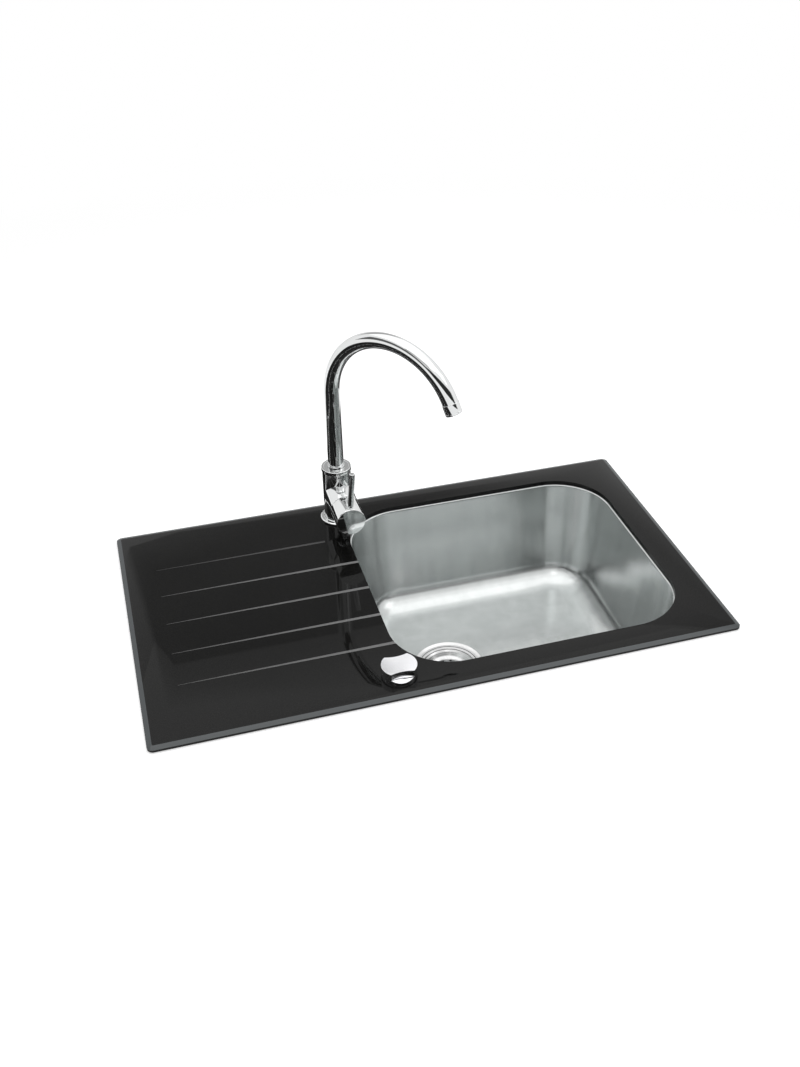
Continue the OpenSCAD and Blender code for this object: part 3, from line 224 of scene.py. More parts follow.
def turned(name, centre, axis, profile, steps=96):
    """A closed profile of (radius, height) points, spun round an axis that starts at the centre."""
    axis = axis.normalized()
    side = axis.orthogonal().normalized()
    points = [centre + side * p[0] + axis * p[1] for p in profile]
    if max(profile[0][0], profile[-1][0]) > 0:
        points.append(points[0])
    bpy.ops.mesh.primitive_plane_add(size=MM, location=mm(*points[0]))
    piece = named(name)
    with editing(piece, "VERT"):
        bpy.ops.mesh.merge(type="CENTER")
        for last, point in zip(points, points[1:]):
            bpy.ops.mesh.extrude_vertices_move(TRANSFORM_OT_translate={"value": mm(*(point - last))})
        bpy.ops.mesh.select_all(action="SELECT")
        bpy.ops.mesh.spin(steps=steps, angle=2 * math.pi, center=mm(*centre), axis=axis)
        tidy_shell()
    return smooth(piece)


def rod(name, start, axis, radius, length, steps=64):
    """A plain round cutter along an axis."""
    place = Vector(start) + Vector(axis).normalized() * length / 2
    turn = Vector(axis).to_track_quat("Z", "Y").to_euler()
    bpy.ops.mesh.primitive_cylinder_add(vertices=steps, radius=radius * MM, depth=length * MM,
                                        location=mm(*place), rotation=turn)
    return named(name)


def sheet_outline(name, x, y, z, w, d, r, steps):
    """A flat sheet with round corners."""
    bpy.ops.mesh.primitive_plane_add(size=1, location=mm(x, y, z))
    bpy.ops.transform.resize(value=mm(w, d, 1000))
    piece = named(name)
    with editing(piece, "VERT"):
        bpy.ops.mesh.bevel(offset=r * MM, segments=steps, affect="VERTICES")
    return piece


def slab(name, x, y, low, high, w, d, r, steps):
    """A flat block with round upright edges."""
    piece = sheet_outline(name, x, y, low, w, d, r, steps)
    with editing(piece):
        bpy.ops.mesh.extrude_region_move(TRANSFORM_OT_translate={"value": mm(0, 0, high - low)})
        bpy.ops.mesh.select_all(action="SELECT")
        bpy.ops.mesh.normals_make_consistent(inside=False)
    return piece


def fitted(piece, body, slot, finish, *nodes):
    """Gives a finished piece its finish and its body, and hides the CAD nodes that it stands for."""
    if not piece.data.materials:
        piece.data.materials.append(finish)
    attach(piece, body)
    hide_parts(*nodes)


# Finishes

class Shade:
    """The value of a socket. Arithmetic on it adds Math nodes."""

    def __init__(self, tree, socket):
        self.tree, self.socket = tree, socket

    def __add__(self, other):
        return self.tree.math("ADD", self, other)

    __radd__ = __add__

    def __sub__(self, other):
        return self.tree.math("SUBTRACT", self, other)

    def __rsub__(self, other):
        return self.tree.math("SUBTRACT", other, self)

    def __mul__(self, other):
        return self.tree.math("MULTIPLY", self, other)

    __rmul__ = __mul__


class Nodes:
    """The node tree of a material or of the world."""

    def __init__(self, owner):
        owner.use_nodes = True
        self.nodes, self.links = owner.node_tree.nodes, owner.node_tree.links

    def join(self, socket, value):
        if isinstance(value, Shade):
            self.links.new(value.socket, socket)
        else:
            socket.default_value = value

    def node(self, kind, sockets=(), out=0, **settings):
        """Any node: its type, its settings, and the values or links of its sockets."""
        node = self.nodes.new("ShaderNode" + kind)
        for name, value in settings.items():
            setattr(node, name, value)
        for key, value in dict(sockets).items():
            self.join(node.inputs[key], value)
        return Shade(self, node.outputs[out])

    def math(self, operation, first, second):
        return self.node("Math", {0: first, 1: second}, operation=operation)

    def mixed(self, factor, first, second):
        """One colour into another."""
        return self.node("Mix", {0: factor, 6: first, 7: second}, out=2, data_type="RGBA")

    def band(self, value, low, high, start=0.0, stop=1.0):
        """A value taken from one range to another."""
        return self.node("MapRange", {0: value, 1: start, 2: stop, 3: low, 4: high})

    def parts(self, value):
        """The X, Y and Z of a vector."""
        return [self.node("SeparateXYZ", {0: value}, out=i) for i in range(3)]


class Finish(Nodes):
    """A procedural finish on one Principled shader, in Object coordinates."""

    def __init__(self, name, **uniform):
        self.material = bpy.data.materials.new(name)
        super().__init__(self.material)
        self.shader = self.nodes["Principled BSDF"]
        for socket, value in uniform.items():
            self.set(socket.replace("_", " "), value)
        self.place = self.node("TexCoord", out="Object")

    def set(self, socket, value):
        self.join(self.shader.inputs[socket], value)

    def noise(self, scale, detail, stretch=(1, 1, 1), roughness=0.5):
        """Noise on the piece's own place, stretched along its axes."""
        mapped = self.node("Mapping", {0: self.place, 3: stretch})
        settings = {"Vector": mapped, "Scale": scale, "Detail": detail, "Roughness": roughness}
        return self.node("TexNoise", settings)

    def bump(self, height, strength, depth):
        self.set("Normal", self.node("Bump", {"Strength": strength, "Distance": depth, "Height": height}))


def grey(level):
    return (level, level, level, 1)


def darker(colour, share):
    return tuple(share * c for c in colour) + (1,)


def black_glass():
    """Black enamel behind glass: a clear coat over a dark, finely speckled ground."""
    f = Finish("black_glass", Specular_IOR_Level=0.03, Coat_Weight=0.35, Coat_Roughness=0.02)
    specks = f.noise(650, 3.0, roughness=0.65)
    cloud = f.noise(6, 4.0)
    sparkle = f.band(specks, 0.0, 1.0, 0.45, 0.75) * f.band(cloud, 0.5, 1.0, 0.3, 0.7)
    f.set("Base Color", f.mixed(sparkle, (0.0012, 0.0012, 0.0011, 1), (0.0160, 0.0158, 0.0145, 1)))
    f.set("Roughness", f.band(cloud, 0.32, 0.42, 0.35, 0.7))
    f.bump(specks, 0.08, 0.00002)
    return f.material


def polished_bevel():
    """The bevel shows the glass's own cool grey, with faint marks of grinding."""
    f = Finish("polished_bevel", IOR=1.65)
    grind = f.noise(60, 4.0, (1, 1, 6))
    f.set("Base Color", f.mixed(grind, (0.020, 0.027, 0.030, 1), (0.030, 0.039, 0.043, 1)))
    f.set("Roughness", f.band(grind, 0.10, 0.20))
    f.bump(grind, 0.1, 0.00002)
    return f.material


def ground_groove():
    """A ground groove, painted brighter towards the bowl and painted darker at its tip and along the back
    groove.
    """
    f = Finish("ground_groove", Specular_IOR_Level=0.25)
    grind = f.noise(240, 4.0, (0.15, 1, 1))
    x, y, _ = f.parts(f.place)
    # Painted light and shade: the groove is brighter towards the bowl, darker towards its tip, and darker
    # along the back groove
    painted_groove_light = f.band(x, 0.45, 1.0, -0.377, -0.1) * f.band(y, 1.0, 0.3, 0.08, 0.14)
    f.set("Base Color", f.mixed(painted_groove_light * f.band(grind, 0.8, 1.1), grey(0.03), grey(0.20)))
    f.set("Roughness", f.band(grind, 0.35, 0.55))
    f.bump(grind, 0.2, 0.00002)
    return f.material


def bowl_steel():
    """Satin steel. The grain runs round the walls and along the floor, and soft upright streaks paint the
    walls' sheen."""
    f = Finish("bowl_steel", Metallic=1.0)
    round_walls = f.noise(500, 3.0, (0.03, 0.03, 1))
    along_floor = f.noise(500, 3.0, (0.03, 1, 1))
    # Painted sheen: soft upright columns lighten and darken the colour like the streaky sheen of the brushed
    # walls; they also vary the roughness
    painted_sheen_columns = f.noise(38, 3.0, (1, 1, 0.06))
    facing_up = f.parts(f.node("NewGeometry", out="Normal"))[2]
    floor = f.band(facing_up, 0.0, 1.0, 0.6, 0.9)
    grain = round_walls + floor * (along_floor - round_walls)
    # The base colour mixes the real grain with the painted sheen of the upright columns
    grain_and_painted_sheen = f.band(grain * 0.15 + painted_sheen_columns * 0.85, 0, 1, 0.3, 0.7)
    f.set("Base Color", f.mixed(grain_and_painted_sheen, (0.572, 0.592, 0.588, 1), (0.640, 0.658, 0.654, 1)))
    f.set("Roughness", f.band(grain, 0.18, 0.20, 0.3, 0.7) + painted_sheen_columns * 0.06)
    f.bump(grain, 0.02, 0.000001)
    return f.material


def turned_steel(name, centre, across):
    """Bright steel with the fine rings that turning leaves. The axis is where across is 0."""
    f = Finish(name, Metallic=1.0)
    offset = f.node("Mapping", {0: f.place, 1: mm(*-centre)})
    flat = f.node("VectorMath", {0: offset, 1: across}, operation="MULTIPLY")
    out = f.node("VectorMath", {0: flat}, out="Value", operation="LENGTH")
    rings = f.node("TexNoise", {"W": out, "Scale": 1800.0, "Detail": 4.0}, noise_dimensions="1D")
    f.set("Base Color", f.mixed(rings, grey(0.60), grey(0.70)))
    f.set("Roughness", f.band(rings, 0.14, 0.3, 0.25, 0.75))
    f.bump(rings, 0.10, 0.00004)
    return f.material


def chrome(name, low, high, colour):
    """Bright plating with faint wiping marks."""
    f = Finish(name, Metallic=1.0, Specular_Tint=grey(0.8))
    wiped = f.noise(35, 4.0, (1, 1, 0.3))
    f.set("Base Color", f.mixed(f.band(wiped, 0, 1, 0.3, 0.7), darker(colour, 0.96), colour + (1,)))
    f.set("Roughness", f.band(wiped, low, high, 0.3, 0.7))
    return f.material


def moulded(name, colour, low, high, grain=700, depth=0.00008, strength=0.15):
    """Moulded plastic or rubber: a fine skin texture, and a colour that varies a little."""
    f = Finish(name)
    skin = f.noise(grain, 3.0)
    cloud = f.noise(18, 3.0)
    f.set("Base Color", f.mixed(f.band(cloud, 0, 1, 0.3, 0.7), darker(colour, 0.82), colour + (1,)))
    f.set("Roughness", f.band(skin, low, high, 0.3, 0.7))
    f.bump(skin, strength, depth)
    return f.material


def foam():
    """Grey foam with fine closed cells."""
    f = Finish("closed_cell_foam")
    cells = f.node("TexVoronoi", {"Vector": f.place, "Scale": 1400.0})
    f.set("Base Color", f.mixed(f.band(cells, 0, 1, 0.1, 0.7), grey(0.09), grey(0.17)))
    f.set("Roughness", f.band(cells, 0.8, 0.95))
    f.bump(cells, 0.5, 0.0002)
    return f.material


def plated(name, colour, low, high, stain):
    """Zinc plating or plain brass, with a soft cloudy tarnish."""
    f = Finish(name, Metallic=1.0)
    cloud = f.noise(40, 5.0)
    scratch = f.noise(500, 3.0, (1, 0.15, 1))
    f.set("Base Color", f.mixed(f.band(cloud, 0, 1, 0.35, 0.7), colour + (1,), stain + (1,)))
    f.set("Roughness", f.band(cloud * 0.6 + scratch * 0.4, low, high, 0.3, 0.7))
    f.bump(scratch, 0.1, 0.00005)
    return f.material


GLASS, BEVEL, GROOVE = black_glass(), polished_bevel(), ground_groove()
BOWL_STEEL = bowl_steel()
WASTE_STEEL = turned_steel("waste_steel", WASTE, (1, 1, 0))
COVER_STEEL = turned_steel("cover_steel", OVERFLOW, (0, 1, 1))
SCREW_STEEL = plated("screw_steel", (0.66, 0.67, 0.68), 0.2, 0.36, (0.58, 0.59, 0.60))
TAP_CHROME = chrome("tap_chrome", 0.02, 0.06, (0.80, 0.81, 0.81))
KNOB_CHROME = chrome("knob_chrome", 0.10, 0.20, (0.88, 0.88, 0.90))
FOAM = foam()
SEALANT = moulded("sealant", (0.035, 0.035, 0.036), 0.45, 0.65, 120, 0.0002, 0.3)
DEADENING = moulded("deadening_pad", (0.06, 0.06, 0.062), 0.75, 0.92, 900, 0.0003, 0.5)
RUBBER = moulded("seal_rubber", (0.028, 0.028, 0.03), 0.5, 0.7)
WHITE_PLASTIC = moulded("white_plastic", (0.80, 0.80, 0.77), 0.3, 0.45, 500)
BEARING_PLASTIC = moulded("bearing_plastic", (0.74, 0.73, 0.68), 0.3, 0.42)
BLUE_PLASTIC = moulded("blue_plastic", (0.07, 0.15, 0.30), 0.32, 0.45)
DARK_PLASTIC = moulded("dark_plastic", (0.035, 0.035, 0.038), 0.4, 0.6, 900, 0.00012, 0.4)
SHEATH = moulded("cable_sheath", (0.022, 0.022, 0.024), 0.28, 0.4, 300)
BRASS = plated("nut_brass", (0.72, 0.53, 0.24), 0.2, 0.42, (0.52, 0.37, 0.17))
ZINC = plated("zinc_steel", (0.62, 0.63, 0.65), 0.28, 0.5, (0.50, 0.51, 0.52))
BLACK_SCREW = plated("black_screw", (0.10, 0.10, 0.11), 0.3, 0.5, (0.06, 0.06, 0.065))


# Glass top

def groove_cutter(end_x, end_half):
    """A tapered round bar along the back groove. It cuts least at its tip, and most where it ends."""
    tip_half, tip_deep, end_deep = 0.5, 0.45, 1.0
    tip_r = (tip_half ** 2 + tip_deep ** 2) / (2 * tip_deep)
    end_r = (end_half ** 2 + end_deep ** 2) / (2 * end_deep)
    tip = Vector((GROOVE_TIP_X, GROOVE_BACK_Y, GLASS_TOP - tip_deep + tip_r))
    end = Vector((end_x, GROOVE_BACK_Y, GLASS_TOP - end_deep + end_r))
    run = end - tip
    turn = run.to_track_quat("Z", "Y").to_euler()
    bpy.ops.mesh.primitive_cone_add(vertices=48, radius1=tip_r * MM, radius2=end_r * MM,
                                    depth=run.length * MM, location=mm(*(tip + run / 2)), rotation=turn)
    piece = named("groove_cutter")
    piece.data.materials.append(GROOVE)
    return piece


def glass_plate():
    """The plate with its bevel, its cut-outs, and a drainer whose back groove stops short of the tap."""
    edge_h = GLASS_TOP - BEVEL_H - GLASS_LOW
    bpy.ops.mesh.primitive_cube_add(size=1, location=mm(0, 0, GLASS_LOW + edge_h / 2))
    bpy.ops.transform.resize(value=mm(PLATE_W, PLATE_D, edge_h))
    plate = named("glass_plate")
    with editing(plate, "EDGE"):
        choose("EDGE", lambda e: abs(e.verts[0].co.z - e.verts[1].co.z) > MM)
        bpy.ops.mesh.bevel(offset=PLATE_R * MM, segments=12, affect="EDGES")
        choose("FACE", lambda face: face.normal.z > 0.9)
        bpy.ops.mesh.inset(thickness=BEVEL_W * MM, depth=BEVEL_H * MM)
    for finish in (GLASS, BEVEL, GROOVE):
        plate.data.materials.append(finish)
    for face in plate.data.polygons:
        face.material_index = 1 if 0.3 < face.normal.z < 0.99 else 0
    opening = slab("opening", CUT_X, CUT_Y, 0, 10, CUT_W, CUT_D, CUT_R, 24)
    holes = copies(rod("hole", (0, 0, 0), UP, HOLE_R, 10), [shift(*TAP), shift(*KNOB)])
    back_groove = groove_cutter(end_x=-108.5, end_half=2.4)
    long_grooves = copies(groove_cutter(end_x=-24.5, end_half=3.1),
                          [shift(0, -GROOVE_STEP * i, 0) for i in range(1, 5)])
    cut(plate, opening, *holes)
    cut(plate, back_groove, *long_grooves, finishes="TRANSFER")
    eased(plate, 0.4, 1)
    fitted(plate, "sink", "black_glass", GLASS, "glass_top")


# Bowl

def wall_in(z):
    """How far in from the flange's edge the wall lies at a height, as it goes over to its lower lean."""
    below = LEAN_CHANGE_Z - z
    blend = LEAN_CHANGE_Z - LOW_LEAN_Z
    more = below ** 2 / (2 * blend) if z > LOW_LEAN_Z else below - blend / 2
    extra = more * (math.tan(LOW_LEAN) - math.tan(WALL_LEAN))
    return MOUTH_IN + (FLANGE_Z - z) * math.tan(WALL_LEAN) + extra


def bowl_rings():
    """How far in from the flange's edge each ring of the bowl lies, and its height."""
    centre = Vector((MOUTH_IN - MOUTH_ROLL + 0.2, FLANGE_Z - MOUTH_ROLL))
    rings = [(centre.x, FLANGE_Z)]
    for k in range(1, 7):
        turn = (math.pi / 2 - WALL_LEAN) * k / 6
        rings.append((centre.x + MOUTH_ROLL * math.sin(turn), centre.y + MOUTH_ROLL * math.cos(turn)))
    x, z = rings[-1]
    rings.append((x + 2 * math.tan(WALL_LEAN), z - 2))
    tight_drop = TIGHT_R * (math.sin(TIGHT_END) - math.sin(LOW_LEAN))
    wall_low = FLOOR_EDGE_Z + WIDE_R * (1 - math.sin(TIGHT_END)) + tight_drop
    for z in (LEAN_CHANGE_Z, -55, -65, LOW_LEAN_Z, -115, wall_low + 3, wall_low):
        rings.append((wall_in(z), z))
    fillets = (TIGHT_R, LOW_LEAN, TIGHT_END, 5), (WIDE_R, TIGHT_END, math.pi / 2, 8)
    for radius, start, stop, steps in fillets:
        x, z = rings[-1]
        for k in range(1, steps + 1):
            turn = start + (stop - start) * k / steps
            inward = radius * (math.cos(start) - math.cos(turn))
            rings.append((x + inward, z - radius * (math.sin(turn) - math.sin(start))))
    x, z = rings[-1]
    rings.append((x + 3, z - 0.03))
    return rings


def pressed_bowl():
    """A sheet inset ring by ring into the bowl, bridged to the round seat of the waste."""
    w, d, r = CUT_W + 2 * FLANGE_W, CUT_D + 2 * FLANGE_W, CUT_R + FLANGE_W
    bowl = sheet_outline("pressed_bowl", CUT_X, CUT_Y, FLANGE_Z, w, d, r, 20)

    def open_edge_below(edge):
        return len(edge.link_faces) < 2 and edge.verts[0].co.z < -150 * MM

    with editing(bowl):
        last = (0, FLANGE_Z)
        for ring in bowl_rings():
            bpy.ops.mesh.inset(thickness=(ring[0] - last[0]) * MM, depth=(ring[1] - last[1]) * MM)
            last = ring
        bpy.ops.mesh.delete(type="ONLY_FACE")
        bpy.ops.mesh.select_all(action="DESELECT")
        bpy.ops.mesh.primitive_circle_add(vertices=84, radius=SEAT_R * MM, location=mm(*WASTE))
        choose("EDGE", open_edge_below)
        bpy.ops.mesh.bridge_edge_loops(number_cuts=5, interpolation="LINEAR")
        choose("EDGE", open_edge_below)
        # The seat of the waste rim, and how far each of its edges lies below the floor
        last_r = SEAT_R
        for radius, drop in ((58.15, 0.35), (57.9, 1.2), (57.9, 3.2), (57.5, 3.5), (45.5, 3.5)):
            bpy.ops.mesh.extrude_edges_move()
            share = radius / last_r
            bpy.ops.transform.resize(value=(share, share, 1), center_override=mm(*WASTE))
            lowest = min(v.co.z for v in bmesh.from_edit_mesh(bowl.data).verts) / MM
            bpy.ops.transform.translate(value=mm(0, 0, FLOOR_Z - drop - lowest))
            last_r = radius
        tidy_shell()
        faces = bmesh.from_edit_mesh(bowl.data).faces
        floor = next(face for face in faces if -182 < face.calc_center_median().z / MM < -180)
        if floor.normal.z < 0:
            bpy.ops.mesh.flip_normals()
    applied(bowl, "SOLIDIFY", thickness=STEEL_T * MM, offset=-1, use_even_offset=True)
    inward = Vector((math.cos(WALL_LEAN), 0, math.sin(WALL_LEAN)))
    cut(bowl, rod("overflow_hole", OVERFLOW_HOLE, inward, OVERFLOW_HOLE_R, 8))
    smooth(bowl, 40)
    fitted(bowl, "sink", "bowl_steel", BOWL_STEEL, "bowl")


def overflow_cover():
    """A dished disc with two slots, square to the leaning wall."""
    out = Vector((math.cos(WALL_LEAN), 0, math.sin(WALL_LEAN)))
    down = Vector((math.sin(WALL_LEAN), 0, -math.cos(WALL_LEAN)))
    centre = OVERFLOW + out * 0.1
    disc = turned("overflow_grille", centre, out, rounded(
        (0, 0), (26, 0), (26, 1.5, 0.9), (22, 1.5, 0.3), (21.4, 1.1, 0.3), (0, 1.1)))
    turn = Matrix((down, Vector((0, 1, 0)), out)).transposed().to_4x4()
    slots = copies(slab("slot", 0, 0, -4, 4, SLOT_W, SLOT_L, SLOT_R, 8),
                   [shift(*(centre + down * along)) @ turn for along in (-SLOT_OUT, SLOT_OUT)])
    cut(disc, *slots, rod("screw_hole", centre - out, out, COVER_SCREW_R, 4))
    smooth(disc, 30)
    fitted(disc, "sink", "polished_steel", COVER_STEEL, "overflow_cover")


# Waste

def ring_of_moves(radius, count):
    """Moves from the middle to places spaced evenly on a circle."""
    angles = [2 * math.pi * i / count for i in range(count)]
    return [shift(radius * math.cos(a), radius * math.sin(a), 0) for a in angles]


def waste_rim():
    """The rim with its wide shallow slope, down to the sieve under the basket."""
    rim = turned("waste_rim", WASTE, UP, rounded(
        (58.3, -2.4), (58.3, 0, 0.3), (57.4, 0.1, 0.3), (52.8, -1.9, 0.2), (44.8, -2.4, 0.4),
        (43.9, -3.3, 0.4), (43.9, -18), (33, -18, 0.6), (33, -28.5, 1.2), (0, -28.5), (0, -30),
        (34, -30, 1.5), (34, -19, 0.8), (44.9, -19, 0.8), (44.9, -3.9), (51.6, -3.5), (56.2, -2.0),
        (56.9, -2.4)), 128)
    below = WASTE - UP * 32
    holes = copies(rod("hole", below, UP, SIEVE_HOLE_R, 5, 40), ring_of_moves(SIEVE_RING_R, SIEVE_HOLES))
    cut(rim, rod("screw_hole", below, UP, SIEVE_SCREW_R, 5), *holes)
    smooth(rim, 30)
    fitted(rim, "sink", "polished_steel", WASTE_STEEL, "waste_flange")


def basket():
    """The cup with its funnel and ledge, two rings of holes in its floor and one in its side."""
    cup = turned("strainer_cup", WASTE, UP, rounded(
        (0, -21.5), (31, -21.5, 2.0), (31, -14.8, 0.4), (34.9, -12.4, 0.4), (37.2, -12.0, 0.6),
        (41.2, -7.4, 0.4), (43.3, -5.4, 0.3), (43.3, -3.8, 0.3), (42.9, -3.7, 0.3), (40.2, -6.1, 0.4),
        (36.2, -10.9, 0.3), (34.9, -10.9, 0.3), (31.2, -13.2, 0.4), (30, -14.2, 0.4), (30, -20.5, 1.8),
        (8.2, -20.5, 0.4), (8.2, -16.6, 0.8), (4.5, -14.4, 0.8), (0, -14.4)), 128)
    floor_hole = rod("hole", WASTE - UP * 24, UP, FLOOR_HOLE_R, 5, 16)
    floor_holes = copies(floor_hole, ring_of_moves(*OUTER_HOLES) + ring_of_moves(*INNER_HOLES))
    side_hole = rod("hole", WASTE + Vector((27, 0, SIDE_HOLE_Z)), (1, 0, 0), SIDE_HOLE_R, 6, 16)
    turns = [2 * math.pi * i / SIDE_HOLES for i in range(SIDE_HOLES)]
    side_holes = copies(side_hole, [turn_about(WASTE, turn) for turn in turns])
    take(*floor_holes, *side_holes)
    bpy.ops.object.join()
    cut(cup, bpy.context.object)
    smooth(cup, 30)
    fitted(cup, "basket", "polished_steel", WASTE_STEEL, "strainer_basket")


# Tap

def tap_column():
    """The upright body and its branch, joined, with the bores that hold the bush and the cartridge."""
    column = turned("tap_column", TAP, UP, rounded(
        (0, 2.5), (16.5, 2.5, 0.5), (16.5, 8.1), (COLUMN_R, 8.1), (COLUMN_R, COLUMN_TOP, 0.35),
        (0, COLUMN_TOP), steps=3), 128)
    branch = turned("branch", SEAM, BRANCH, rounded(
        (0, -BRANCH_L), (BRANCH_R, -BRANCH_L), (BRANCH_R, 0, 0.4), (0, 0), steps=3), 128)
    cut(column, branch, way="UNION")
    cut(column, rod("bush_bore", TAP + UP * 57.5, UP, BUSH_BORE_R, 60, 96),
        rod("nut_bore", SEAM - BRANCH * 7, BRANCH, NUT_BORE_R, 10, 96),
        rod("cartridge_bore", SEAM - BRANCH * 40.2, BRANCH, CARTRIDGE_BORE_R, 40, 96))
    tails = copies(rod("tail_hole", TAP, UP, TAIL_R, TAIL_TOP, 32),
                   [shift(x, TAIL_Y, 0) for x in (-TAIL_X, TAIL_X)])
    cut(column, *tails, rod("stud_hole", TAP + Vector((0, STUD_Y, 0)), UP, STUD_R, TAIL_TOP, 32))
    smooth(column, 30)
    fitted(column, "sink", "tap_chrome", TAP_CHROME, "tap_body")


def tap_rings():
    """The ring under the body, the collar over it, and the narrow ring that turns with the spout."""
    base = turned("base_ring", TAP, UP, rounded(
        (23.1, 8.1), (29.8, 8.1, 0.2), (29.8, 10.6, 0.8), (28.2, 11.7, 0.6), (24.4, 11.7, 0.3),
        (23.1, 11.2)), 128)
    fitted(base, "sink", "tap_chrome", TAP_CHROME, "tap_base_ring")
    collar = turned("neck_collar", TAP, UP, rounded(
        (13.9, COLUMN_TOP), (23.4, COLUMN_TOP, 0.2), (23.7, 100.1), (24.1, 100.4, 0.4), (24.1, 106.5, 0.9),
        (20.5, 106.5, 0.3), (20.1, 106.2, 0.2), (13.9, 106.2)), 128)
    fitted(collar, "sink", "tap_chrome", TAP_CHROME, "spout_collar")
    ring = turned("neck_ring", TAP, UP, rounded(
        (12.7, 99.8), (13.6, 99.8), (13.6, 109.8, 0.6), (12.7, 109.8)), 96)
    fitted(ring, "spout", "tap_chrome", TAP_CHROME, "spout_ring")


def swan_neck():
    """A circle drawn up to the start of the bend and spun over it, with the wall added inside."""
    bpy.ops.mesh.primitive_circle_add(vertices=64, radius=TUBE_R * MM, location=mm(TAP.x, TAP.y, TUBE_LOW))
    tube = named("swan_neck")
    with editing(tube, "EDGE"):
        for rise in (40, 70, 71):
            bpy.ops.mesh.extrude_edges_move(TRANSFORM_OT_translate={"value": mm(0, 0, rise)})
        bend = TAP + SPOUT_DIR * NECK_R + UP * NECK_Z
        bpy.ops.mesh.spin(steps=96, angle=NECK_ARC, center=mm(*bend), axis=SPOUT_DIR.cross(UP))
        tidy_shell()
    applied(tube, "SOLIDIFY", thickness=TUBE_T * MM, offset=-1)
    smooth(tube, 40)
    fitted(tube, "spout", "tap_chrome", TAP_CHROME, "spout_tube")


def aerator():
    """The ring at the spout's mouth, square to the end of the bend."""
    rise, reach = NECK_R * math.sin(NECK_ARC), NECK_R * (1 - math.cos(NECK_ARC))
    mouth = TAP + UP * (NECK_Z + rise) + SPOUT_DIR * reach
    out = UP * math.cos(NECK_ARC) + SPOUT_DIR * math.sin(NECK_ARC)
    shell = turned("aerator_ring", mouth, out, rounded(
        (10.6, 0), (13.2, 0, 0.5), (13.2, 13.6, 0.2), (12.95, 13.9), (13.2, 14.2, 0.2), (13.2, 17, 0.6),
        (11.2, 17, 0.4), (11.2, 15), (10.6, 15)), 96)
    fitted(shell, "spout", "tap_chrome", TAP_CHROME, "aerator_shell")


def lever_cap():
    """The turning cap, hollow towards the branch, with a wedge cut away below so that it can tilt."""
    cap = turned("lever_dome", SEAM, BRANCH, rounded(
        (0, 41.2), (BRANCH_R, 41.2, 1.3), (BRANCH_R, SEAM_GAP, 0.4), (21.2, SEAM_GAP), (21.2, 22.2),
        (17, 22.2), (17, 38.2), (9, 38.2), (9, 22.2), (4.6, 22.2), (4.6, 36.7), (0, 36.7)), 128)
    bpy.ops.mesh.primitive_cube_add(size=1, location=mm(0, 0, -WEDGE_H / 2))
    bpy.ops.transform.resize(value=mm(WEDGE_W, WEDGE_T, WEDGE_H))
    wedge = named("wedge")
    with editing(wedge, "VERT"):
        choose("VERT", lambda v: v.co.y < 0)
        bpy.ops.transform.translate(value=mm(0, WEDGE_T / 2 - SEAM_GAP, 0))
        choose("VERT", lambda v: v.co.y < 0 and v.co.z < -20 * MM)
        bpy.ops.transform.translate(value=mm(0, -WEDGE_H * math.tan(WEDGE_ANGLE), 0))
    cut(cap, placed(wedge, shift(*SEAM) @ Matrix.Rotation(LEVER_TURN, 4, "Y")))
    smooth(cap, 30)
    fitted(cap, "lever", "tap_chrome", TAP_CHROME, "lever_cap")
    rise = Vector((math.sin(LEVER_TURN), 0, math.cos(LEVER_TURN)))
    pin = turned("lever_rod", SEAM + BRANCH * 31.2, rise, rounded(
        (0, 17.5), (2.5, 17.5), (2.5, 22.4), (4.4, 22.4), (4.4, 83.3, 1.0), (0, 83.3)), 64)
    fitted(pin, "lever", "tap_chrome", TAP_CHROME, "lever_pin")


# Knob

def knob():
    """The disc on the glass and the grip, whose two finger hollows fall outwards at the bottom."""
    disc = turned("knob_disc", KNOB, UP, rounded(
        (5.1, -13.5), (16.3, -13.5, 0.5), (16.3, 7.5), (24.3, 7.5), (24.3, 11.5, 0.5), (5.1, 11.5)), 128)
    fitted(disc, "sink", "knob_chrome", KNOB_CHROME, "knob_base")
    bpy.ops.mesh.primitive_cylinder_add(vertices=128, radius=GRIP_R * MM, depth=GRIP_H * MM,
                                        location=mm(*(KNOB + UP * (GRIP_LOW + GRIP_H / 2))))
    grip = named("knob_handle")
    for side in (-1, 1):
        hollow = rod("hollow", KNOB + Vector((0, side * HOLLOW_OUT, 5)), UP, HOLLOW_R, 30, 256)
        with editing(hollow):
            bpy.ops.mesh.bisect(plane_co=mm(*(KNOB + Vector((0, side * SCOOP_OUT, SCOOP_Z)))),
                                plane_no=(0, side * SCOOP_FALL, 1), use_fill=True, clear_inner=True)
        cut(grip, hollow)
    eased(grip, 1.2, 4, 40)
    cut(grip, rod("spindle_bore", KNOB + UP * 8, UP, SPINDLE_BORE_R, 14.6),
        rod("screw_bore", KNOB + Vector((0, 4.8, 15)), (0, 1, 0), SCREW_BORE_R, 20, 32))
    fitted(grip, "knob", "knob_chrome", KNOB_CHROME, "knob_grip")


glass_plate()
pressed_bowl()
overflow_cover()
waste_rim()
basket()
tap_column()
tap_rings()
swan_neck()
aerator()
lever_cap()
knob()

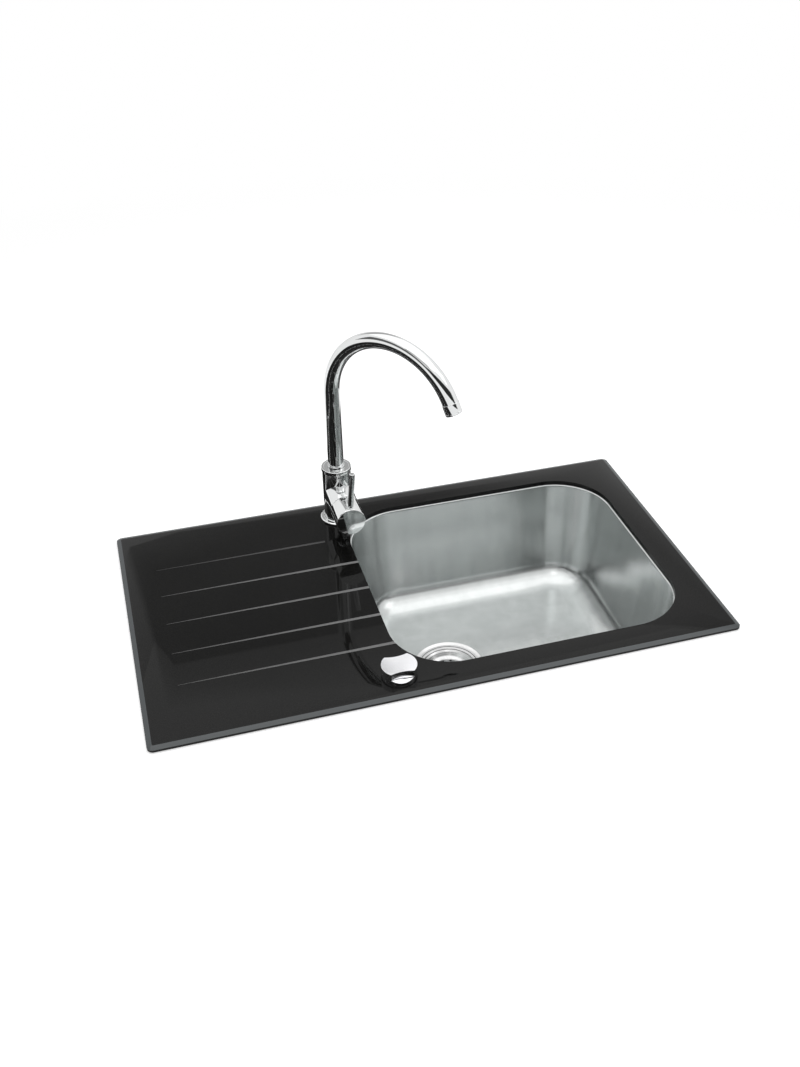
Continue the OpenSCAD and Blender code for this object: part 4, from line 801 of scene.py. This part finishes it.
# The finishes of the CAD nodes that are carried over as they are
DRESSING = {
    FOAM: ("edge_seal",),
    SEALANT: ("bond_seal",),
    DEADENING: ("sound_pad",),
    RUBBER: ("overflow_gasket", "waste_top_seal", "waste_lower_seal", "plug_seal", "tap_base_seal",
             "rubber_horseshoe"),
    WHITE_PLASTIC: ("overflow_elbow", "overflow_pipe", "waste_body"),
    BEARING_PLASTIC: ("spout_bush", "cable_drum", "cartridge"),
    BLUE_PLASTIC: ("mixing_carrier",),
    DARK_PLASTIC: ("drum_housing", "drum_lid", "cable_gland", "rocker", "aerator_insert"),
    SHEATH: ("bowden_cable",),
    SCREW_STEEL: ("overflow_screw", "waste_screw", "rocker_shaft", "lifter_pin", "knob_spindle", "stem_pin",
                  "lever_stem"),
    BLACK_SCREW: ("knob_grub_screw", "lever_grub_screw"),
    BRASS: ("knob_nut", "stud_nut"),
    TAP_CHROME: ("dome_nut",),
    ZINC: ("tap_stud", "steel_horseshoe", "clip_brackets", "clips_front", "clips_back", "clips_left",
           "clips_right", "clip_screws_front", "clip_screws_back", "clip_screws_left", "clip_screws_right"),
}
for finish, nodes in DRESSING.items():
    for node in nodes:
        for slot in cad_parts[node].material_slots:
            slot.material = finish


# Worktop, light and camera

def worktop():
    """The pale floor that the rim lies on, open under the plate where the bowl hangs through."""
    bpy.ops.mesh.primitive_plane_add(size=1)
    bpy.ops.transform.resize(value=mm(WORKTOP_CUT_W, WORKTOP_CUT_D, 1000))
    floor = named("worktop")
    with editing(floor, "EDGE"):
        bpy.ops.mesh.delete(type="ONLY_FACE")
        bpy.ops.mesh.select_all(action="SELECT")
        bpy.ops.mesh.extrude_edges_move()
        bpy.ops.transform.resize(value=WORKTOP_SPREAD)
        bpy.ops.mesh.select_all(action="SELECT")
        bpy.ops.mesh.normals_make_consistent(inside=False)
    f = Finish("pale_worktop", Roughness=0.9, Specular_IOR_Level=0.0, Emission_Strength=1.0)
    distance = f.node("VectorMath", {0: f.place}, out="Value", operation="LENGTH")
    far = f.band(distance, 0.0, 1.0, 0.9, 2.0)
    f.set("Base Color", f.mixed(far, grey(0.8), grey(0.0)))
    f.set("Emission Color", f.mixed(far, grey(0.5), grey(1.0)))
    floor.data.materials.append(f.material)


def surroundings():
    """A white room for the camera and for reflections, and a dimmer one for plain light."""
    world = bpy.data.worlds.new("white_room")
    bpy.context.scene.world = world
    room = Nodes(world)
    kinds = ("Is Camera Ray", "Is Glossy Ray", "Is Transmission Ray")
    camera_ray, glossy_ray, through_ray = [room.node("LightPath", out=kind) for kind in kinds]
    seen = room.math("MAXIMUM", room.math("MAXIMUM", camera_ray, glossy_ray), through_ray)
    background = room.nodes["Background"].inputs
    room.join(background["Color"], grey(1.0))
    room.join(background["Strength"], room.band(seen, 0.35, 1.0))


def lamp(name, place, width, depth, level, reflected=True):
    """A softbox that faces down. A level of 1 shows as white."""
    bpy.ops.object.light_add(type="AREA", location=mm(*place))
    light = bpy.context.object
    light.name = name
    light.data.shape = "RECTANGLE"
    light.data.size, light.data.size_y = mm(width, depth)
    light.data.energy = level * math.pi * width * depth * MM * MM
    light.visible_camera = False
    light.visible_glossy = reflected


def lamps():
    """The overhead lamp lights the sink, and no reflection shows it. The glows show in the steel,
    each at its own height because a lamp hides another in its plane."""
    # Name, place, width, depth and level
    lamp("overhead", (100, 0, 1700), 2500, 2100, 0.85, reflected=False)
    lamp("wide_glow", (100, 470, 1760), 2500, 3060, 0.34)
    lamp("middle_glow", (100, 356, 1820), 2500, 1590, 0.3)
    lamp("front_glow", (-60, -1050, 1900), 500, 600, 0.8)
    lamp("right_glow", (1855, -730, 1900), 1100, 1100, 0.85)


def dark_card(name, place, turn, width, height, level, left=None, right=None, top=None):
    """A dark screen that only reflections show, as a photographer puts beside chrome.
    An edge that is given as a range fades over it."""
    bpy.ops.mesh.primitive_plane_add(size=1, location=mm(*place), rotation=[math.radians(a) for a in turn])
    bpy.context.object.scale = mm(width, height, 1000)
    card = named(name)
    f = Finish(name, Roughness=1.0, Specular_IOR_Level=0.0, Emission_Strength=1.0)
    f.set("Base Color", grey(0.0))
    f.set("Emission Color", grey(level))
    if left and right and top:
        x, _, z = f.parts(f.place)
        dark = f.band(x, 0.0, 1.0, *mm(*left)) * f.band(x, 1.0, 0.0, *mm(*right))
        dark = dark * f.band(z, 1.0, 0.0, *mm(*top))
        f.set("Emission Color", f.mixed(dark, grey(1.0), grey(level)))
    card.data.materials.append(f.material)
    card.visible_camera = card.visible_diffuse = card.visible_shadow = card.visible_transmission = False


def dark_cards():
    """Cards in front, left, low and behind, and on the worktop beside the plate, for the dark
    bands of the chrome and the steel and for the even black of the glass."""
    upright, facing_right, flat = (90, 0, 0), (90, 0, 90), (0, 0, 0)
    # Name, place, turn in degrees, width, height and level
    dark_card("dark_front", (465, -2600, 1600), upright, 6130, 1200, 0.03)
    dark_card("dark_left", (-2600, -500, 1600), facing_right, 4200, 1200, 0.12)
    dark_card("dim_left_corner", (-2000, -1850, 2825), (90, 0, -52), 2200, 1250, 0.55)
    dark_card("dark_floor_front", (100, -620, 1), flat, 1400, 720, 0.02)
    dark_card("dark_floor_left", (-1000, -240, 1), flat, 1120, 1320, 0.02)
    dark_card("dark_floor_back", (-70, 350, 1), flat, 740, 180, 0.02)
    dark_card("low_front_card", (225, -330, 120), upright, 450, 240, 0.4)
    dark_card("dim_back", (170, 2200, 1600), upright, 1860, 1400, 0.45,
              left=(-750, -640), right=(600, 1100), top=(1950, 2300))


def camera():
    """The photograph's view, from the front left and above."""
    heading, tilt, roll = math.radians(-17.304), math.radians(56.393), math.radians(0.112)
    turn = Matrix.Rotation(heading, 4, "Z") @ Matrix.Rotation(tilt, 4, "X") @ Matrix.Rotation(roll, 4, "Z")
    bpy.ops.object.camera_add()
    eye = bpy.context.object
    eye.name = "front_left_view"
    eye.matrix_world = shift(-396.43, -1424.93, 1123.98) @ turn
    eye.data.lens, eye.data.sensor_width = 40.39, 36
    eye.data.shift_x, eye.data.shift_y = -0.0404, -0.0245
    eye.data.clip_end = 40
    bpy.context.scene.camera = eye


worktop()
surroundings()
lamps()
dark_cards()
camera()
bpy.context.scene.view_settings.view_transform = "Standard"
